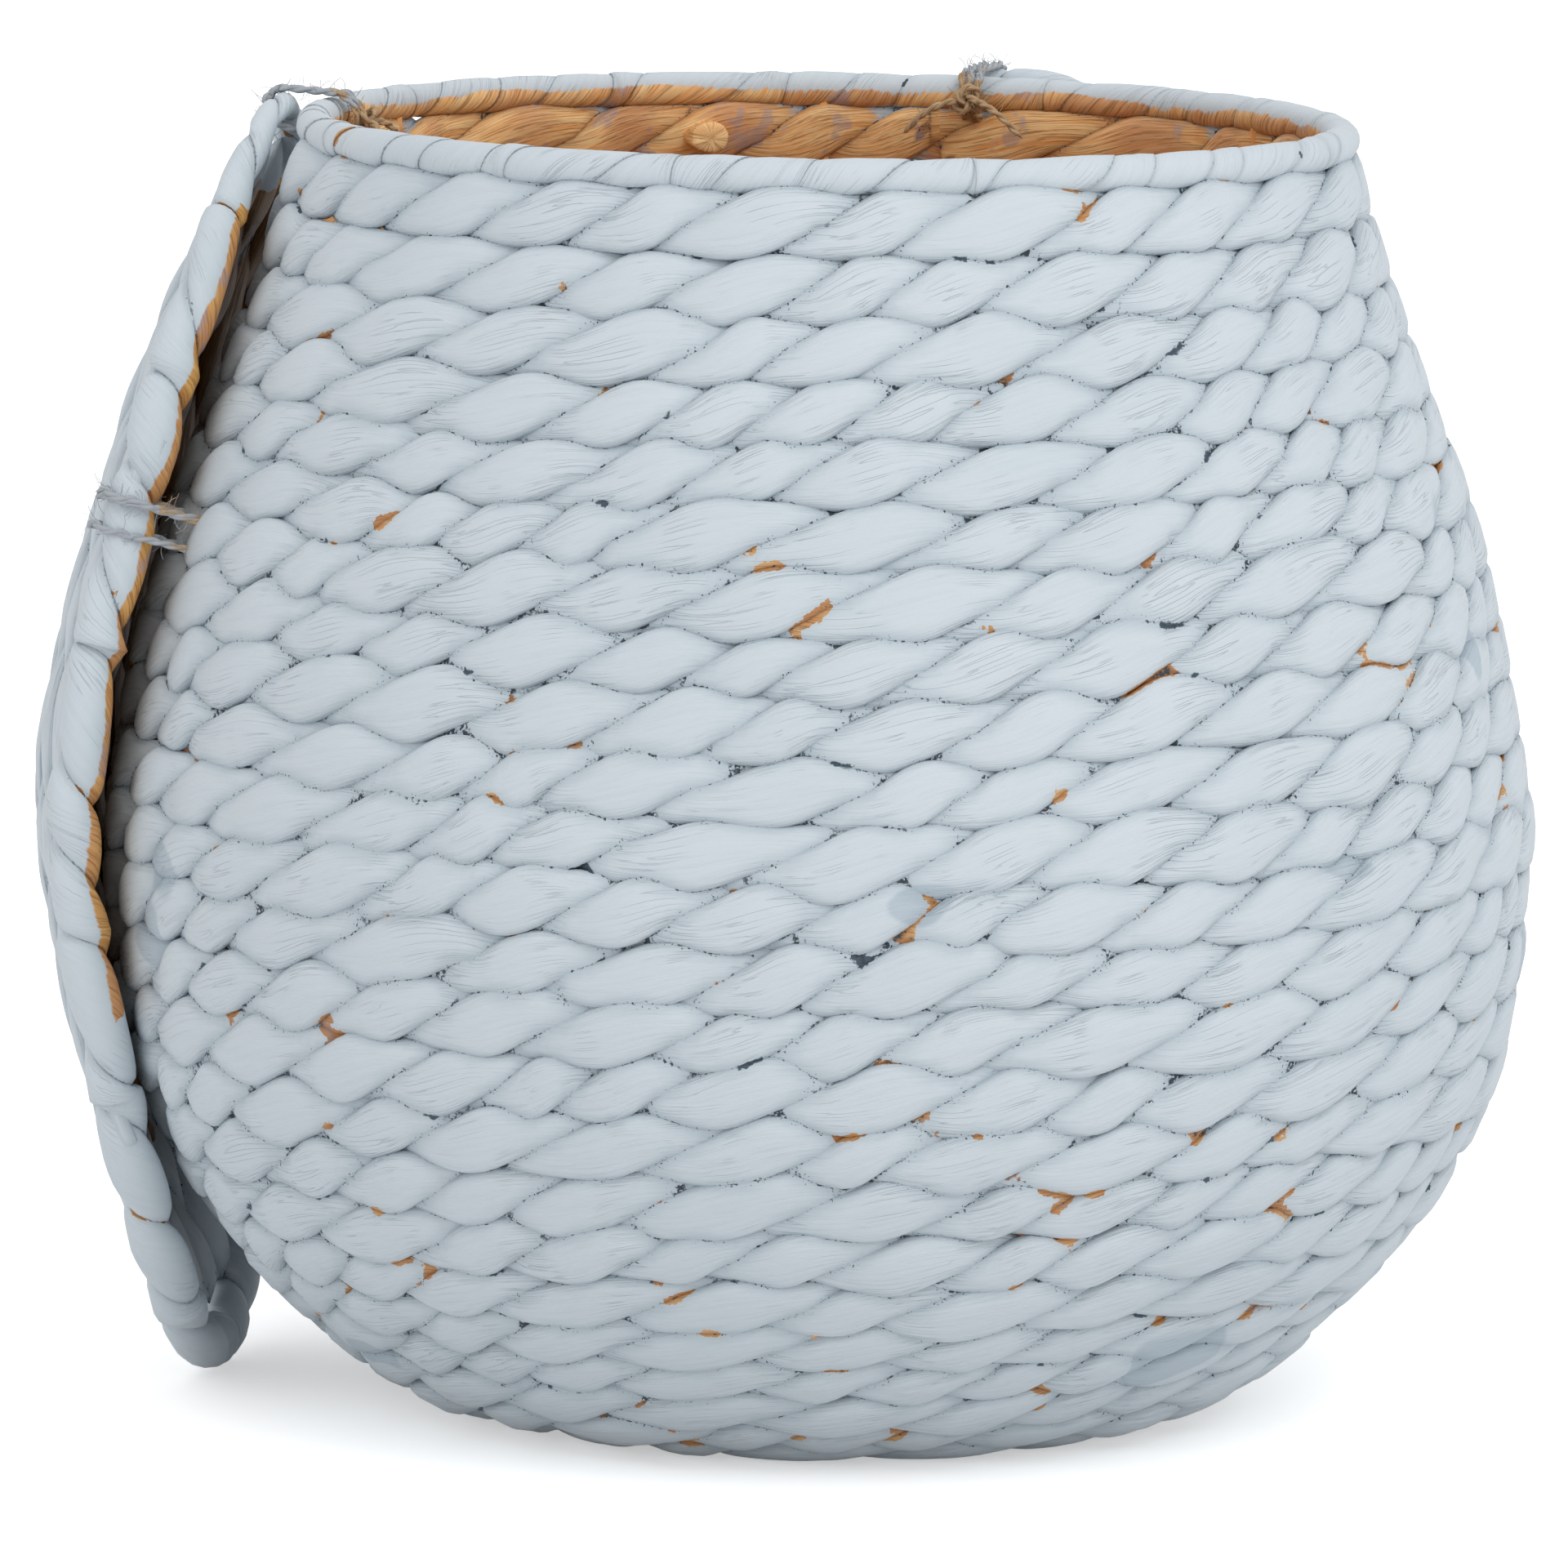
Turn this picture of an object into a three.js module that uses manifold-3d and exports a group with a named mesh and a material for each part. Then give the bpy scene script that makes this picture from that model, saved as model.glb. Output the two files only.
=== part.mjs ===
// A round, low-bellied basket of twined water-hyacinth strand with two oval flaps tied to its upper side.
// Millimetres, +Z up. The origin is the centre of the base on the floor. +Y points midway between the flaps.
import * as THREE from "three";
import { mergeVertices } from "three/addons/utils/BufferGeometryUtils.js";
import Module from "manifold-3d";

const wasm = await Module();
wasm.setup();

// Whole basket
const basketHeight = 362;
const bellyRadius = 200;
const baseRadius = 98;
const clearance = 0.3;

// Wall and base: courses of twined strand laid on one another, thickest at their crest
const wallCourses = 24;
const courseThickness = 9.5;
const courseGroove = 2.4;
const overrun = 1;
const baseCourses = 4;
const baseStartRadius = 30;
const ringSegments = 18;
// Outer wall from the floor to the rim: shares of the bellyRadius beyond the base, and of the wall's height
const wallProfileShares = [
  [0, 0],
  [0.235, 0.021],
  [0.5, 0.081],
  [0.716, 0.143],
  [0.858, 0.229],
  [0.956, 0.31],
  [1, 0.455],
  [0.946, 0.567],
  [0.843, 0.694],
  [0.691, 0.817],
  [0.554, 0.93],
  [0.49, 1],
];

// Rim: a wire hoop wound with flat strand
const rimWrapThickness = 9.5;
const wrapWall = 2.4;

// Wire frame: the rim hoop with ribs that run down inside the wall and meet under the middle of the base
const hoopWire = 4;
const ribWire = 3;
const ribs = 6;
const wireSides = 5;
const passageSides = 4;

// Flaps: an oval wire hoop wound with strand, filled with upright columns, bowed like the wall beside it
const flapWidth = 204;
const flapFloorGap = 0.6;
const flapAboveRim = 2.6;
const flapBorder = 15;
const windingSlot = 1.2;
const flapColumns = 10;
const columnThickness = 8;
const columnGroove = 2;
const flapRimGap = 2.5;
const flapBellyGap = 8;
const flapCrownHeightShare = 0.464;
const flapBowExponent = 1.55;
const flapFullnessShare = 0.06;
const panelSpanShare = 0.975;
const flapSpread = THREE.MathUtils.degToRad(52);
const flapStations = 28;
const columnStations = 6;
const halvings = 40;

// Twine ties: one over the rim and one through the wall at each flap
const twine = 3.5;
const tieSlack = 0.7;
const tiePassage = 1.4;
const tieKnot = 9;
const rimTieTurn = THREE.MathUtils.degToRad(-3.7);
const sideTieHeightShare = 0.7;
const sideTieDrop = 8;
const tieStations = 16;
const twineSides = 5;

// Materials
function material(color, roughness, metalness) {
  return new THREE.MeshStandardMaterial({ color, roughness, metalness });
}
const paintedStrand = material(0xbfcad1, 0.75, 0);
const ironWire = material(0x4a4744, 0.6, 0.8);
const naturalTwine = material(0xa8916c, 0.9, 0);

// Solids: closed meshes as manifolds for joining and cutting, and back
function solidOf(geometry) {
  const bare = geometry.index ? geometry.toNonIndexed() : geometry.clone();
  bare.deleteAttribute("normal");
  bare.deleteAttribute("uv");
  const merged = mergeVertices(bare);
  return new wasm.Manifold(
    new wasm.Mesh({
      numProp: 3,
      vertProperties: new Float32Array(merged.attributes.position.array),
      triVerts: new Uint32Array(merged.index.array),
    }),
  );
}

function geometryOf(solid) {
  const { numProp, numVert, vertProperties, triVerts } = solid.getMesh();
  const positions = new Float32Array(numVert * 3);
  for (let i = 0; i < numVert; i++) {
    positions.set(vertProperties.subarray(i * numProp, i * numProp + 3), i * 3);
  }
  const geometry = new THREE.BufferGeometry();
  geometry.setAttribute("position", new THREE.BufferAttribute(positions, 3));
  geometry.setIndex(new THREE.BufferAttribute(new Uint32Array(triVerts), 1));
  return geometry;
}

// Skin through rings of equally many points. Open runs are capped, closed runs join their ends.
function loft(rings, closed = false) {
  const sides = rings[0].length;
  const positions = rings.flat().flatMap((point) => point.toArray());
  const triangles = [];
  const runs = closed ? rings.length : rings.length - 1;
  for (let i = 0; i < runs; i++) {
    const here = i * sides;
    const next = ((i + 1) % rings.length) * sides;
    for (let j = 0; j < sides; j++) {
      const k = (j + 1) % sides;
      triangles.push(here + j, here + k, next + k, here + j, next + k, next + j);
    }
  }
  if (!closed) {
    const last = (rings.length - 1) * sides;
    for (const [a, b, c] of ladder(sides)) {
      triangles.push(a, c, b, last + a, last + b, last + c);
    }
  }
  const geometry = new THREE.BufferGeometry();
  geometry.setAttribute("position", new THREE.Float32BufferAttribute(positions, 3));
  geometry.setIndex(triangles);
  return faceOutward(geometry);
}

// Triangles across a closed outline, between the points that face each other from its first edge on
function ladder(sides) {
  const triangles = [];
  for (let near = 0, far = sides - 1; far - near > 1; near++, far--) {
    triangles.push([near, near + 1, far]);
    if (far - near > 2) {
      triangles.push([near + 1, far - 1, far]);
    }
  }
  return triangles;
}

function faceOutward(geometry) {
  const corners = geometry.index.array;
  const point = (i) => new THREE.Vector3().fromBufferAttribute(geometry.attributes.position, corners[i]);
  let volume = 0;
  for (let i = 0; i < corners.length; i += 3) {
    volume += point(i).dot(point(i + 1).cross(point(i + 2)));
  }
  if (volume < 0) {
    for (let i = 0; i < corners.length; i += 3) {
      [corners[i + 1], corners[i + 2]] = [corners[i + 2], corners[i + 1]];
    }
  }
  return geometry;
}

// A ring about the Z axis from a closed (radius, height) outline
function ring(outline) {
  const closedOutline = [...outline, outline[0]];
  const lathe = new THREE.LatheGeometry(closedOutline, ringSegments).rotateX(Math.PI / 2);
  const bare = lathe.toNonIndexed();
  bare.deleteAttribute("normal");
  bare.deleteAttribute("uv");
  return faceOutward(mergeVertices(bare));
}

// Radius of a straight-sided ring at an angle, as a share of the radius at its corners
function ringShare(angle) {
  const side = (2 * Math.PI) / ringSegments;
  const pastCorner = THREE.MathUtils.euclideanModulo(angle + Math.PI / 2, side);
  return Math.cos(side / 2) / Math.cos(pastCorner - side / 2);
}

const part = new THREE.Group();

function addPiece(name, geometry, pieceMaterial) {
  const mesh = new THREE.Mesh(geometry, pieceMaterial);
  mesh.name = name;
  part.add(mesh);
}

// Wall profile: courses of equal pitch along the curve from the edge of the base to the foot of the rim wrap
const rimRadius = baseRadius + (bellyRadius - baseRadius) * wallProfileShares.at(-1)[0];
const ribSlot = ribWire + 2 * clearance;
const rimHoopHeight = basketHeight - rimWrapThickness / 2;
const rimWrapFoot = rimHoopHeight - Math.sqrt(rimWrapThickness ** 2 - ribSlot ** 2) / 2;
const wallTop = rimWrapFoot - clearance;
const wallProfile = new THREE.SplineCurve(
  wallProfileShares.map(
    ([radiusShare, heightShare]) =>
      new THREE.Vector2(baseRadius + (bellyRadius - baseRadius) * radiusShare, wallTop * heightShare),
  ),
);
wallProfile.arcLengthDivisions = wallCourses * ringSegments;
const coursePitch = wallProfile.getLength() / wallCourses;

// Place on the wall's outer curve at a share of its length, moved inward by a depth
function wallPoint(lengthShare, depth) {
  const along = wallProfile.getTangentAt(lengthShare);
  return wallProfile.getPointAt(lengthShare).add(new THREE.Vector2(-along.y, along.x).multiplyScalar(depth));
}

// Five-sided section of the wall course between two shares of the wall's length
function courseOutline(index) {
  const start = index / wallCourses;
  const end = (index + 1) / wallCourses;
  const inset = clearance / 2 / wallProfile.getLength();
  const low = start + (index > 0 ? inset : 0);
  const high = end - (index < wallCourses - 1 ? inset : 0);
  const foot = wallPoint(low, index > 0 ? courseGroove : 0);
  return [
    foot,
    wallPoint((start + end) / 2, 0),
    wallPoint(high, courseGroove),
    wallPoint(high, courseThickness),
    wallPoint(low, courseThickness),
  ];
}

// Rib wires: from the rim hoop down the middle of the wall, then in along the middle of the base
const rimHoopRadius = rimRadius - rimWrapThickness / 2;
const ribTurns = Array.from({ length: ribs }, (_, i) => (i / ribs) * 2 * Math.PI);
const ribWallPlaces = Array.from({ length: wallCourses + 1 }, (_, i) =>
  wallPoint(i / wallCourses, courseThickness / 2),
);
const ribMeeting = new THREE.Vector2(0, ribWallPlaces[0].y);

// A straight-sided wire through (radius, height) points in the upright plane at an angle
function ribWireAlong(places, angle, diameter, sides) {
  const side = placeAt(angle + Math.PI / 2, 1, 0);
  const path = places.map(({ x, y }) => placeAt(angle, x * ringShare(angle), y));
  const rings = path.map((point, i) => {
    const arriving = point.clone().sub(path[i - 1] ?? point).normalize();
    const leaving = (path[i + 1] ?? point).clone().sub(point).normalize();
    const up = side.clone().cross(arriving.add(leaving)).normalize();
    return Array.from({ length: sides }, (_, j) => {
      const turn = (2 * Math.PI * (j + 0.5)) / sides;
      return point
        .clone()
        .addScaledVector(side, (Math.cos(turn) * diameter) / 2)
        .addScaledVector(up, (Math.sin(turn) * diameter) / 2);
    });
  });
  return solidOf(loft(rings));
}

// Square passages for the ribs through what lies between two places
function ribPassages(from, to) {
  const beyond = to.clone().sub(from).setLength(overrun);
  const places = [from.clone().sub(beyond), to.clone().add(beyond)];
  const acrossCorners = ribSlot * Math.SQRT2;
  const passages = ribTurns.map((angle) => ribWireAlong(places, angle, acrossCorners, passageSides));
  return wasm.Manifold.union(passages);
}

function placeAt(angle, radius, height) {
  return new THREE.Vector3(radius * Math.cos(angle), radius * Math.sin(angle), height);
}

// Flap surface: bowed in height so that it clears the belly at its crown and the rim at its top
const flapHeight = basketHeight + flapAboveRim - flapFloorGap;
const flapCentreHeight = flapFloorGap + flapHeight / 2;
const flapHalfHeight = (flapHeight - flapBorder) / 2;
const flapHalfWidth = (flapWidth - flapBorder) / 2;
const flapTopRadius = rimRadius + flapRimGap + flapBorder / 2;
const flapCrownRadius = bellyRadius + flapBellyGap + flapBorder / 2;
const flapCrownHeight = basketHeight * flapCrownHeightShare;
const bowRise = flapCentreHeight + flapHalfHeight - flapCrownHeight;
const bowDepth = flapCrownRadius - flapTopRadius;

function flapRadius(height) {
  return flapCrownRadius - bowDepth * (Math.abs(height - flapCrownHeight) / bowRise) ** flapBowExponent;
}

function flapSlope(height) {
  const aboveCrown = height - flapCrownHeight;
  const steepness = (flapBowExponent * bowDepth) / bowRise;
  return -Math.sign(aboveCrown) * steepness * (Math.abs(aboveCrown) / bowRise) ** (flapBowExponent - 1);
}

// Place on a flap: breadth along the surface, height, and depth along its outward normal
function flapPoint(side, breadth, height, depth) {
  const slope = flapSlope(height);
  const normalScale = depth / Math.hypot(1, slope);
  const radius = flapRadius(height) + normalScale;
  const angle = Math.PI / 2 + side * (flapSpread + breadth / flapRadius(height));
  return new THREE.Vector3(radius * Math.cos(angle), radius * Math.sin(angle), height - slope * normalScale);
}

// Border centre line: an oval, fuller below, drawn in by an inset
function flapOutline(turn, inset) {
  const fullness = 1 - flapFullnessShare * Math.cos(turn);
  return {
    breadth: (flapHalfWidth - inset) * fullness * Math.sin(turn),
    height: flapCentreHeight + (flapHalfHeight - inset) * Math.cos(turn),
  };
}

function borderPoint(side, turn, depth = 0) {
  const { breadth, height } = flapOutline(turn, 0);
  return flapPoint(side, breadth, height, depth);
}

// Place on the straight run of the border that a turn falls on
function borderRunPoint(side, turn) {
  const step = (2 * Math.PI) / flapStations;
  const station = Math.floor(turn / step);
  const start = borderPoint(side, station * step);
  return start.lerp(borderPoint(side, (station + 1) * step), turn / step - station);
}

// Section of the border at a turn, from (distance from the centre line, angle from the outward direction)
function borderRing(side, turn, section) {
  const centre = borderPoint(side, turn);
  const step = Math.PI / flapStations;
  const along = borderPoint(side, turn + step).sub(borderPoint(side, turn - step)).normalize();
  const faceOut = borderPoint(side, turn, flapBorder).sub(centre).normalize();
  const awayFromPanel = faceOut.clone().cross(along).multiplyScalar(side).normalize();
  const square = along.clone().cross(awayFromPanel).multiplyScalar(side).normalize();
  return section.map(([distance, angle]) =>
    centre
      .clone()
      .addScaledVector(awayFromPanel, distance * Math.cos(angle))
      .addScaledVector(square, distance * Math.sin(angle)),
  );
}

function borderSweep(side, section) {
  const rings = Array.from({ length: flapStations }, (_, i) =>
    borderRing(side, (2 * Math.PI * i) / flapStations, section),
  );
  return loft(rings, true);
}

// Evenly spread section points on an arc centred on the outward direction
function sectionArc(distance, halfSpread, points) {
  return Array.from({ length: points }, (_, i) => [distance, halfSpread * ((2 * i) / (points - 1) - 1)]);
}

// Winding round a hoop, open along a slot on the side away from the outward direction, and the hoop inside it
function windingSection(outerDiameter, boreDiameter, slot) {
  const outer = sectionArc(outerDiameter / 2, Math.PI - Math.asin(slot / outerDiameter), wireSides + 1);
  const bore = sectionArc(boreDiameter / 2, Math.PI - Math.asin(slot / boreDiameter), wireSides + 1);
  return [...outer, ...bore.reverse()];
}

function hoopSection(boreDiameter, slot) {
  return sectionArc(hoopWire / 2, Math.PI - Math.asin(slot / boreDiameter), wireSides + 1);
}

// One column of a flap: its ends follow the inside of the border's straight-sided oval
function flapColumn(side, index) {
  const borderDip = flapHalfHeight * (1 - Math.cos(Math.PI / flapStations));
  const inset = flapBorder / 2 + clearance + borderDip;
  const panelWidth = 2 * (flapHalfWidth - inset) * panelSpanShare;
  const columnPitch = panelWidth / flapColumns;
  const left = -panelWidth / 2 + index * columnPitch + clearance / 2;
  const right = left + columnPitch - clearance;
  const breadths = [left, (left + right) / 2, right];
  const ends = breadths.map((breadth) => columnEnds(breadth, inset));
  const back = -columnThickness / 2;
  const crest = columnThickness / 2;
  const edge = crest - columnGroove;
  const rings = Array.from({ length: columnStations + 1 }, (_, i) => {
    const share = i / columnStations;
    const place = (k, depth) => {
      const [low, high] = ends[k];
      return flapPoint(side, breadths[k], low + (high - low) * share, depth);
    };
    return [place(0, back), place(1, back), place(2, back), place(2, edge), place(1, crest), place(0, edge)];
  });
  return loft(rings);
}

// Lowest and highest height inside the border at a breadth
function columnEnds(breadth, inset) {
  const high = crossingTurn(Math.abs(breadth), inset, 0, Math.PI / 2);
  const low = crossingTurn(Math.abs(breadth), inset, Math.PI, Math.PI / 2);
  return [flapOutline(low, inset).height, flapOutline(high, inset).height];
}

// Turn between two bounds at which the inset outline reaches a breadth, by halving
function crossingTurn(breadth, inset, narrowTurn, wideTurn) {
  let narrow = narrowTurn;
  let wide = wideTurn;
  for (let i = 0; i < halvings; i++) {
    const middle = (narrow + wide) / 2;
    if (flapOutline(middle, inset).breadth < breadth) {
      narrow = middle;
    } else {
      wide = middle;
    }
  }
  return (narrow + wide) / 2;
}

// Twine loop: a belt round two round sections, one at each end, in the plane of its two directions
function beltPoints({ outerPlace, innerPlace, outerRadius, innerRadius, across }) {
  const reach = outerPlace.clone().sub(innerPlace);
  const lean = Math.acos((outerRadius - innerRadius) / reach.length());
  reach.normalize();
  const half = tieStations / 2;
  const arc = (centre, radius, from, to) =>
    Array.from({ length: half }, (_, i) => {
      const turn = from + ((to - from) * i) / (half - 1);
      return centre
        .clone()
        .addScaledVector(reach, radius * Math.cos(turn))
        .addScaledVector(across, radius * Math.sin(turn));
    });
  return [
    ...arc(outerPlace, outerRadius, -lean, lean),
    ...arc(innerPlace, innerRadius, lean, 2 * Math.PI - lean),
  ];
}

function twineLoop(tie, diameter) {
  const points = beltPoints(tie);
  const planeNormal = tie.outerPlace.clone().sub(tie.innerPlace).cross(tie.across).normalize();
  const rings = points.map((point, i) => {
    const before = points[(i + points.length - 1) % points.length];
    const after = points[(i + 1) % points.length];
    const along = after.clone().sub(before).normalize();
    const outOfLoop = along.clone().cross(planeNormal);
    return Array.from({ length: twineSides }, (_, j) => {
      const turn = (2 * Math.PI * j) / twineSides;
      return point
        .clone()
        .addScaledVector(planeNormal, (Math.cos(turn) * diameter) / 2)
        .addScaledVector(outOfLoop, (Math.sin(turn) * diameter) / 2);
    });
  });
  return solidOf(loft(rings, true));
}

// The loop with its knot at the end inside the basket
function tiePiece(tie) {
  const inward = tie.innerPlace.clone().sub(tie.outerPlace).normalize();
  const place = tie.innerPlace.clone().addScaledVector(inward, tie.innerRadius + tieKnot / 2);
  const knot = new THREE.IcosahedronGeometry(tieKnot / 2, 1).translate(...place.toArray());
  return twineLoop(tie, twine).add(solidOf(knot));
}

// Where each flap's ties cross its border
const sideTieHeight = basketHeight * sideTieHeightShare;
const rimTieBorderTurn = (rimTieTurn * flapTopRadius) / (flapHalfWidth * (1 - flapFullnessShare));
const sideTieBorderTurn = Math.acos((sideTieHeight - flapCentreHeight) / flapHalfHeight);
const borderBeltRadius = flapBorder / 2 + tieSlack + twine / 2;

// Over the rim, in the upright plane through the axis
function rimTie(side) {
  const outerPlace = borderRunPoint(side, rimTieBorderTurn);
  const angle = Math.atan2(outerPlace.y, outerPlace.x);
  const innerPlace = placeAt(angle, rimHoopRadius * ringShare(angle), rimHoopHeight);
  const sideways = placeAt(angle + Math.PI / 2, 1, 0);
  return {
    outerPlace,
    innerPlace,
    outerRadius: borderBeltRadius,
    innerRadius: rimWrapThickness / 2 + clearance + twine / 2,
    across: sideways.cross(outerPlace.clone().sub(innerPlace)).normalize(),
  };
}

// Through the wall, level with the floor across its width, in behind the courses and out again
function sideTie(side) {
  const outerPlace = borderRunPoint(side, sideTieBorderTurn);
  const angle = Math.atan2(outerPlace.y, outerPlace.x);
  const course = nearestCourse(sideTieHeight - sideTieDrop);
  const wall = wallPoint((course + 0.5) / wallCourses, courseThickness / 2);
  return {
    outerPlace,
    innerPlace: placeAt(angle, wall.x * ringShare(angle), wall.y),
    outerRadius: borderBeltRadius,
    innerRadius: courseThickness / 2 + clearance + twine / 2,
    across: placeAt(angle + Math.PI / 2, 1, 0),
  };
}

function nearestCourse(height) {
  const heights = Array.from({ length: wallCourses }, (_, i) => wallPoint((i + 0.5) / wallCourses, 0).y);
  const misses = heights.map((h) => Math.abs(h - height));
  return misses.indexOf(Math.min(...misses));
}

const flapSides = [
  { name: "left", side: 1 },
  { name: "right", side: -1 },
];

// The ties pass through the weave, a clearance larger than the twine
const ties = flapSides.flatMap(({ side }) => [rimTie(side), sideTie(side)]);
const tieHoles = wasm.Manifold.union(ties.map((tie) => twineLoop(tie, twine + 2 * clearance)));

// The flaps turn on their ties, so the passages through the flaps are wider
const flapPassages = wasm.Manifold.union(ties.map((tie) => twineLoop(tie, twine + 2 * tiePassage)));

function addCourses() {
  for (let i = 0; i < wallCourses; i++) {
    const passages = ribPassages(ribWallPlaces[i], ribWallPlaces[i + 1]);
    const course = solidOf(ring(courseOutline(i))).subtract(passages).subtract(tieHoles);
    addPiece(`wall_course_${String(i + 1).padStart(2, "0")}`, geometryOf(course), paintedStrand);
  }
}

function addBase() {
  const passages = ribPassages(ribWallPlaces[0], ribMeeting);
  const basePitch = (baseRadius - baseStartRadius) / baseCourses;
  for (let i = 0; i < baseCourses; i++) {
    const inner = baseStartRadius + i * basePitch + clearance / 2;
    const outer = inner + basePitch - clearance;
    const meetsWall = i === baseCourses - 1;
    const outerTop = meetsWall ? wallPoint(0, courseThickness).x - clearance : outer;
    const outline = [
      new THREE.Vector2(inner, 0),
      new THREE.Vector2(outer, 0),
      new THREE.Vector2(outerTop, courseThickness),
      new THREE.Vector2(inner, courseThickness),
    ];
    addPiece(`base_course_${i + 1}`, geometryOf(solidOf(ring(outline)).subtract(passages)), paintedStrand);
  }
  const start = new THREE.CylinderGeometry(
    baseStartRadius - clearance / 2,
    baseStartRadius - clearance / 2,
    courseThickness,
    ringSegments,
  );
  start.rotateX(Math.PI / 2).translate(0, 0, courseThickness / 2);
  addPiece("base_start", geometryOf(solidOf(start).subtract(passages)), paintedStrand);
}

function addRimAndFrame() {
  const centre = new THREE.Vector2(rimHoopRadius, rimHoopHeight);
  const bore = rimWrapThickness - 2 * wrapWall;
  const roundTheRim = (section) =>
    ring(
      section.map(([distance, angle]) =>
        centre.clone().add(new THREE.Vector2(Math.sin(angle), Math.cos(angle)).multiplyScalar(distance)),
      ),
    );
  addPiece("rim_wrap", roundTheRim(windingSection(rimWrapThickness, bore, ribSlot)), paintedStrand);
  const ribPlaces = [ribMeeting, ...ribWallPlaces, centre];
  const ribSolids = ribTurns.map((angle) => ribWireAlong(ribPlaces, angle, ribWire, wireSides));
  const hoop = solidOf(roundTheRim(hoopSection(bore, ribSlot)));
  addPiece("wire_frame", geometryOf(wasm.Manifold.union([hoop, ...ribSolids])), ironWire);
}

function addFlap(name, side) {
  const bore = hoopWire + 2 * clearance;
  const wrapSection = windingSection(flapBorder, bore, windingSlot);
  addPiece(`${name}_flap_hoop`, borderSweep(side, hoopSection(bore, windingSlot)), ironWire);
  addPiece(`${name}_flap_border_wrap`, borderSweep(side, wrapSection), paintedStrand);
  for (let i = 0; i < flapColumns; i++) {
    const column = solidOf(flapColumn(side, i)).subtract(flapPassages);
    addPiece(`${name}_flap_column_${String(i + 1).padStart(2, "0")}`, geometryOf(column), paintedStrand);
  }
}

function addTies(name, side) {
  addPiece(`${name}_rim_tie`, geometryOf(tiePiece(rimTie(side))), naturalTwine);
  addPiece(`${name}_side_tie`, geometryOf(tiePiece(sideTie(side))), naturalTwine);
}

addCourses();
addBase();
addRimAndFrame();
for (const { name, side } of flapSides) {
  addFlap(name, side);
  addTies(name, side);
}

export default part;
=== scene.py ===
# A round, low-bellied basket of twisted water-hyacinth strand, painted outside and bare inside, with two
# oval flaps tied to its upper side. Metres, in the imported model's frame: +Z up, +Y between the flaps.
import math
import random
import bpy
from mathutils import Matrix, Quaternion, Vector
from mathutils.bvhtree import BVHTree


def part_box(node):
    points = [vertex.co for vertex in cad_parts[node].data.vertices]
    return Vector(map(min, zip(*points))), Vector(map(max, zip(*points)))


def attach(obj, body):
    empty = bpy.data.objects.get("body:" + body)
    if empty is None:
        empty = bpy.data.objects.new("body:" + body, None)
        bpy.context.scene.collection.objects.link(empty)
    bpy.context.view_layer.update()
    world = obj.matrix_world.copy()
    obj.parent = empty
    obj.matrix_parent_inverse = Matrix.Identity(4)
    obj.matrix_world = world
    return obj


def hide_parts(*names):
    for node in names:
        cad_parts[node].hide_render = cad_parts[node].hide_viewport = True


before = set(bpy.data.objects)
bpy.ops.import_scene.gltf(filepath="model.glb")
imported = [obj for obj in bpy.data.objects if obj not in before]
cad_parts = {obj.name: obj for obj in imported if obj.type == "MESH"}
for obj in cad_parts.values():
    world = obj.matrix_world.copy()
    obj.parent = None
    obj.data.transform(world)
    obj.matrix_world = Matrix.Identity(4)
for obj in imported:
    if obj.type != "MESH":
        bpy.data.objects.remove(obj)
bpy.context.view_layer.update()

# Camera: a long lens, a little above the rim, from the plain back of the basket. It comes first so that the
# pieces can be judged against it, and it doesn't belong to the object.
camera_azimuth = math.radians(-30.3)
camera_distance = 3.25
camera_height = 0.6348
camera_lens = 268.07
camera_roll = math.radians(0.84)
aim_height = 0.1732
aim_left = 0.0096


def new_object(name, data):
    made = bpy.data.objects.new(name, data)
    bpy.context.scene.collection.objects.link(made)
    return made


def look(thing, place, target, roll=0.0):
    """Sets a camera or a lamp at a place, turned toward a target."""
    thing.location = place
    thing.rotation_mode = "QUATERNION"
    level = (target - place).to_track_quat("-Z", "Y")
    thing.rotation_quaternion = level @ Quaternion((0, 0, 1), roll)


upright = Vector((0, 0, 1))
away = Vector((math.sin(camera_azimuth), -math.cos(camera_azimuth), 0))
rightward = Vector((math.cos(camera_azimuth), math.sin(camera_azimuth), 0))
aim = upright * aim_height - aim_left * rightward
camera_place = away * camera_distance - aim_left * rightward + upright * camera_height
camera_data = bpy.data.cameras.new("camera")
camera_data.lens = camera_lens
camera_data.sensor_width = 36
camera_data.clip_end = 100
camera = new_object("camera", camera_data)
look(camera, camera_place, aim, camera_roll)
bpy.context.scene.camera = camera


# Wall: 24 level courses, each a pair of water-hyacinth strands twisted together and laid on the one below.
# The weave is made on the wire frame, sprayed with matt pale blue-grey paint outside, and left bare inside.
lobe_pitch = 0.0335
stations_per_lobe = 12
lobe_unevenness = 0.36
fullness_unevenness = 0.07
fullness_with_length = 0.22
push_unevenness = 0.0007
ring_start = math.radians(38)
ring_start_spread = math.radians(14)
seam_reach = 0.006
weld_distance = 1e-5
crease_spread = 1.7
lobe_in_fibre = 0.32
guide_points_per_lobe = 6
wall_sway, still_courses = 0.0009, 3
common_waves = (1.0, 3, 22, 0), (0.8, 7, -35, 1)
own_waves = (0.7, 5), (0.5, 9)
wall_seed = 100
floor_edge, floor_courses = 0.0008, 2
paint_colour = (0.588, 0.648, 0.692, 1)
stain_colour = (0.345, 0.425, 0.495, 1)
# The crevice colour is painted shade: it darkens the paint in the seams between lobes and in the creases.
crevice_shade_colour = (0.210, 0.285, 0.350, 1)
crack_colour = (0.040, 0.052, 0.064, 1)
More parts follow.
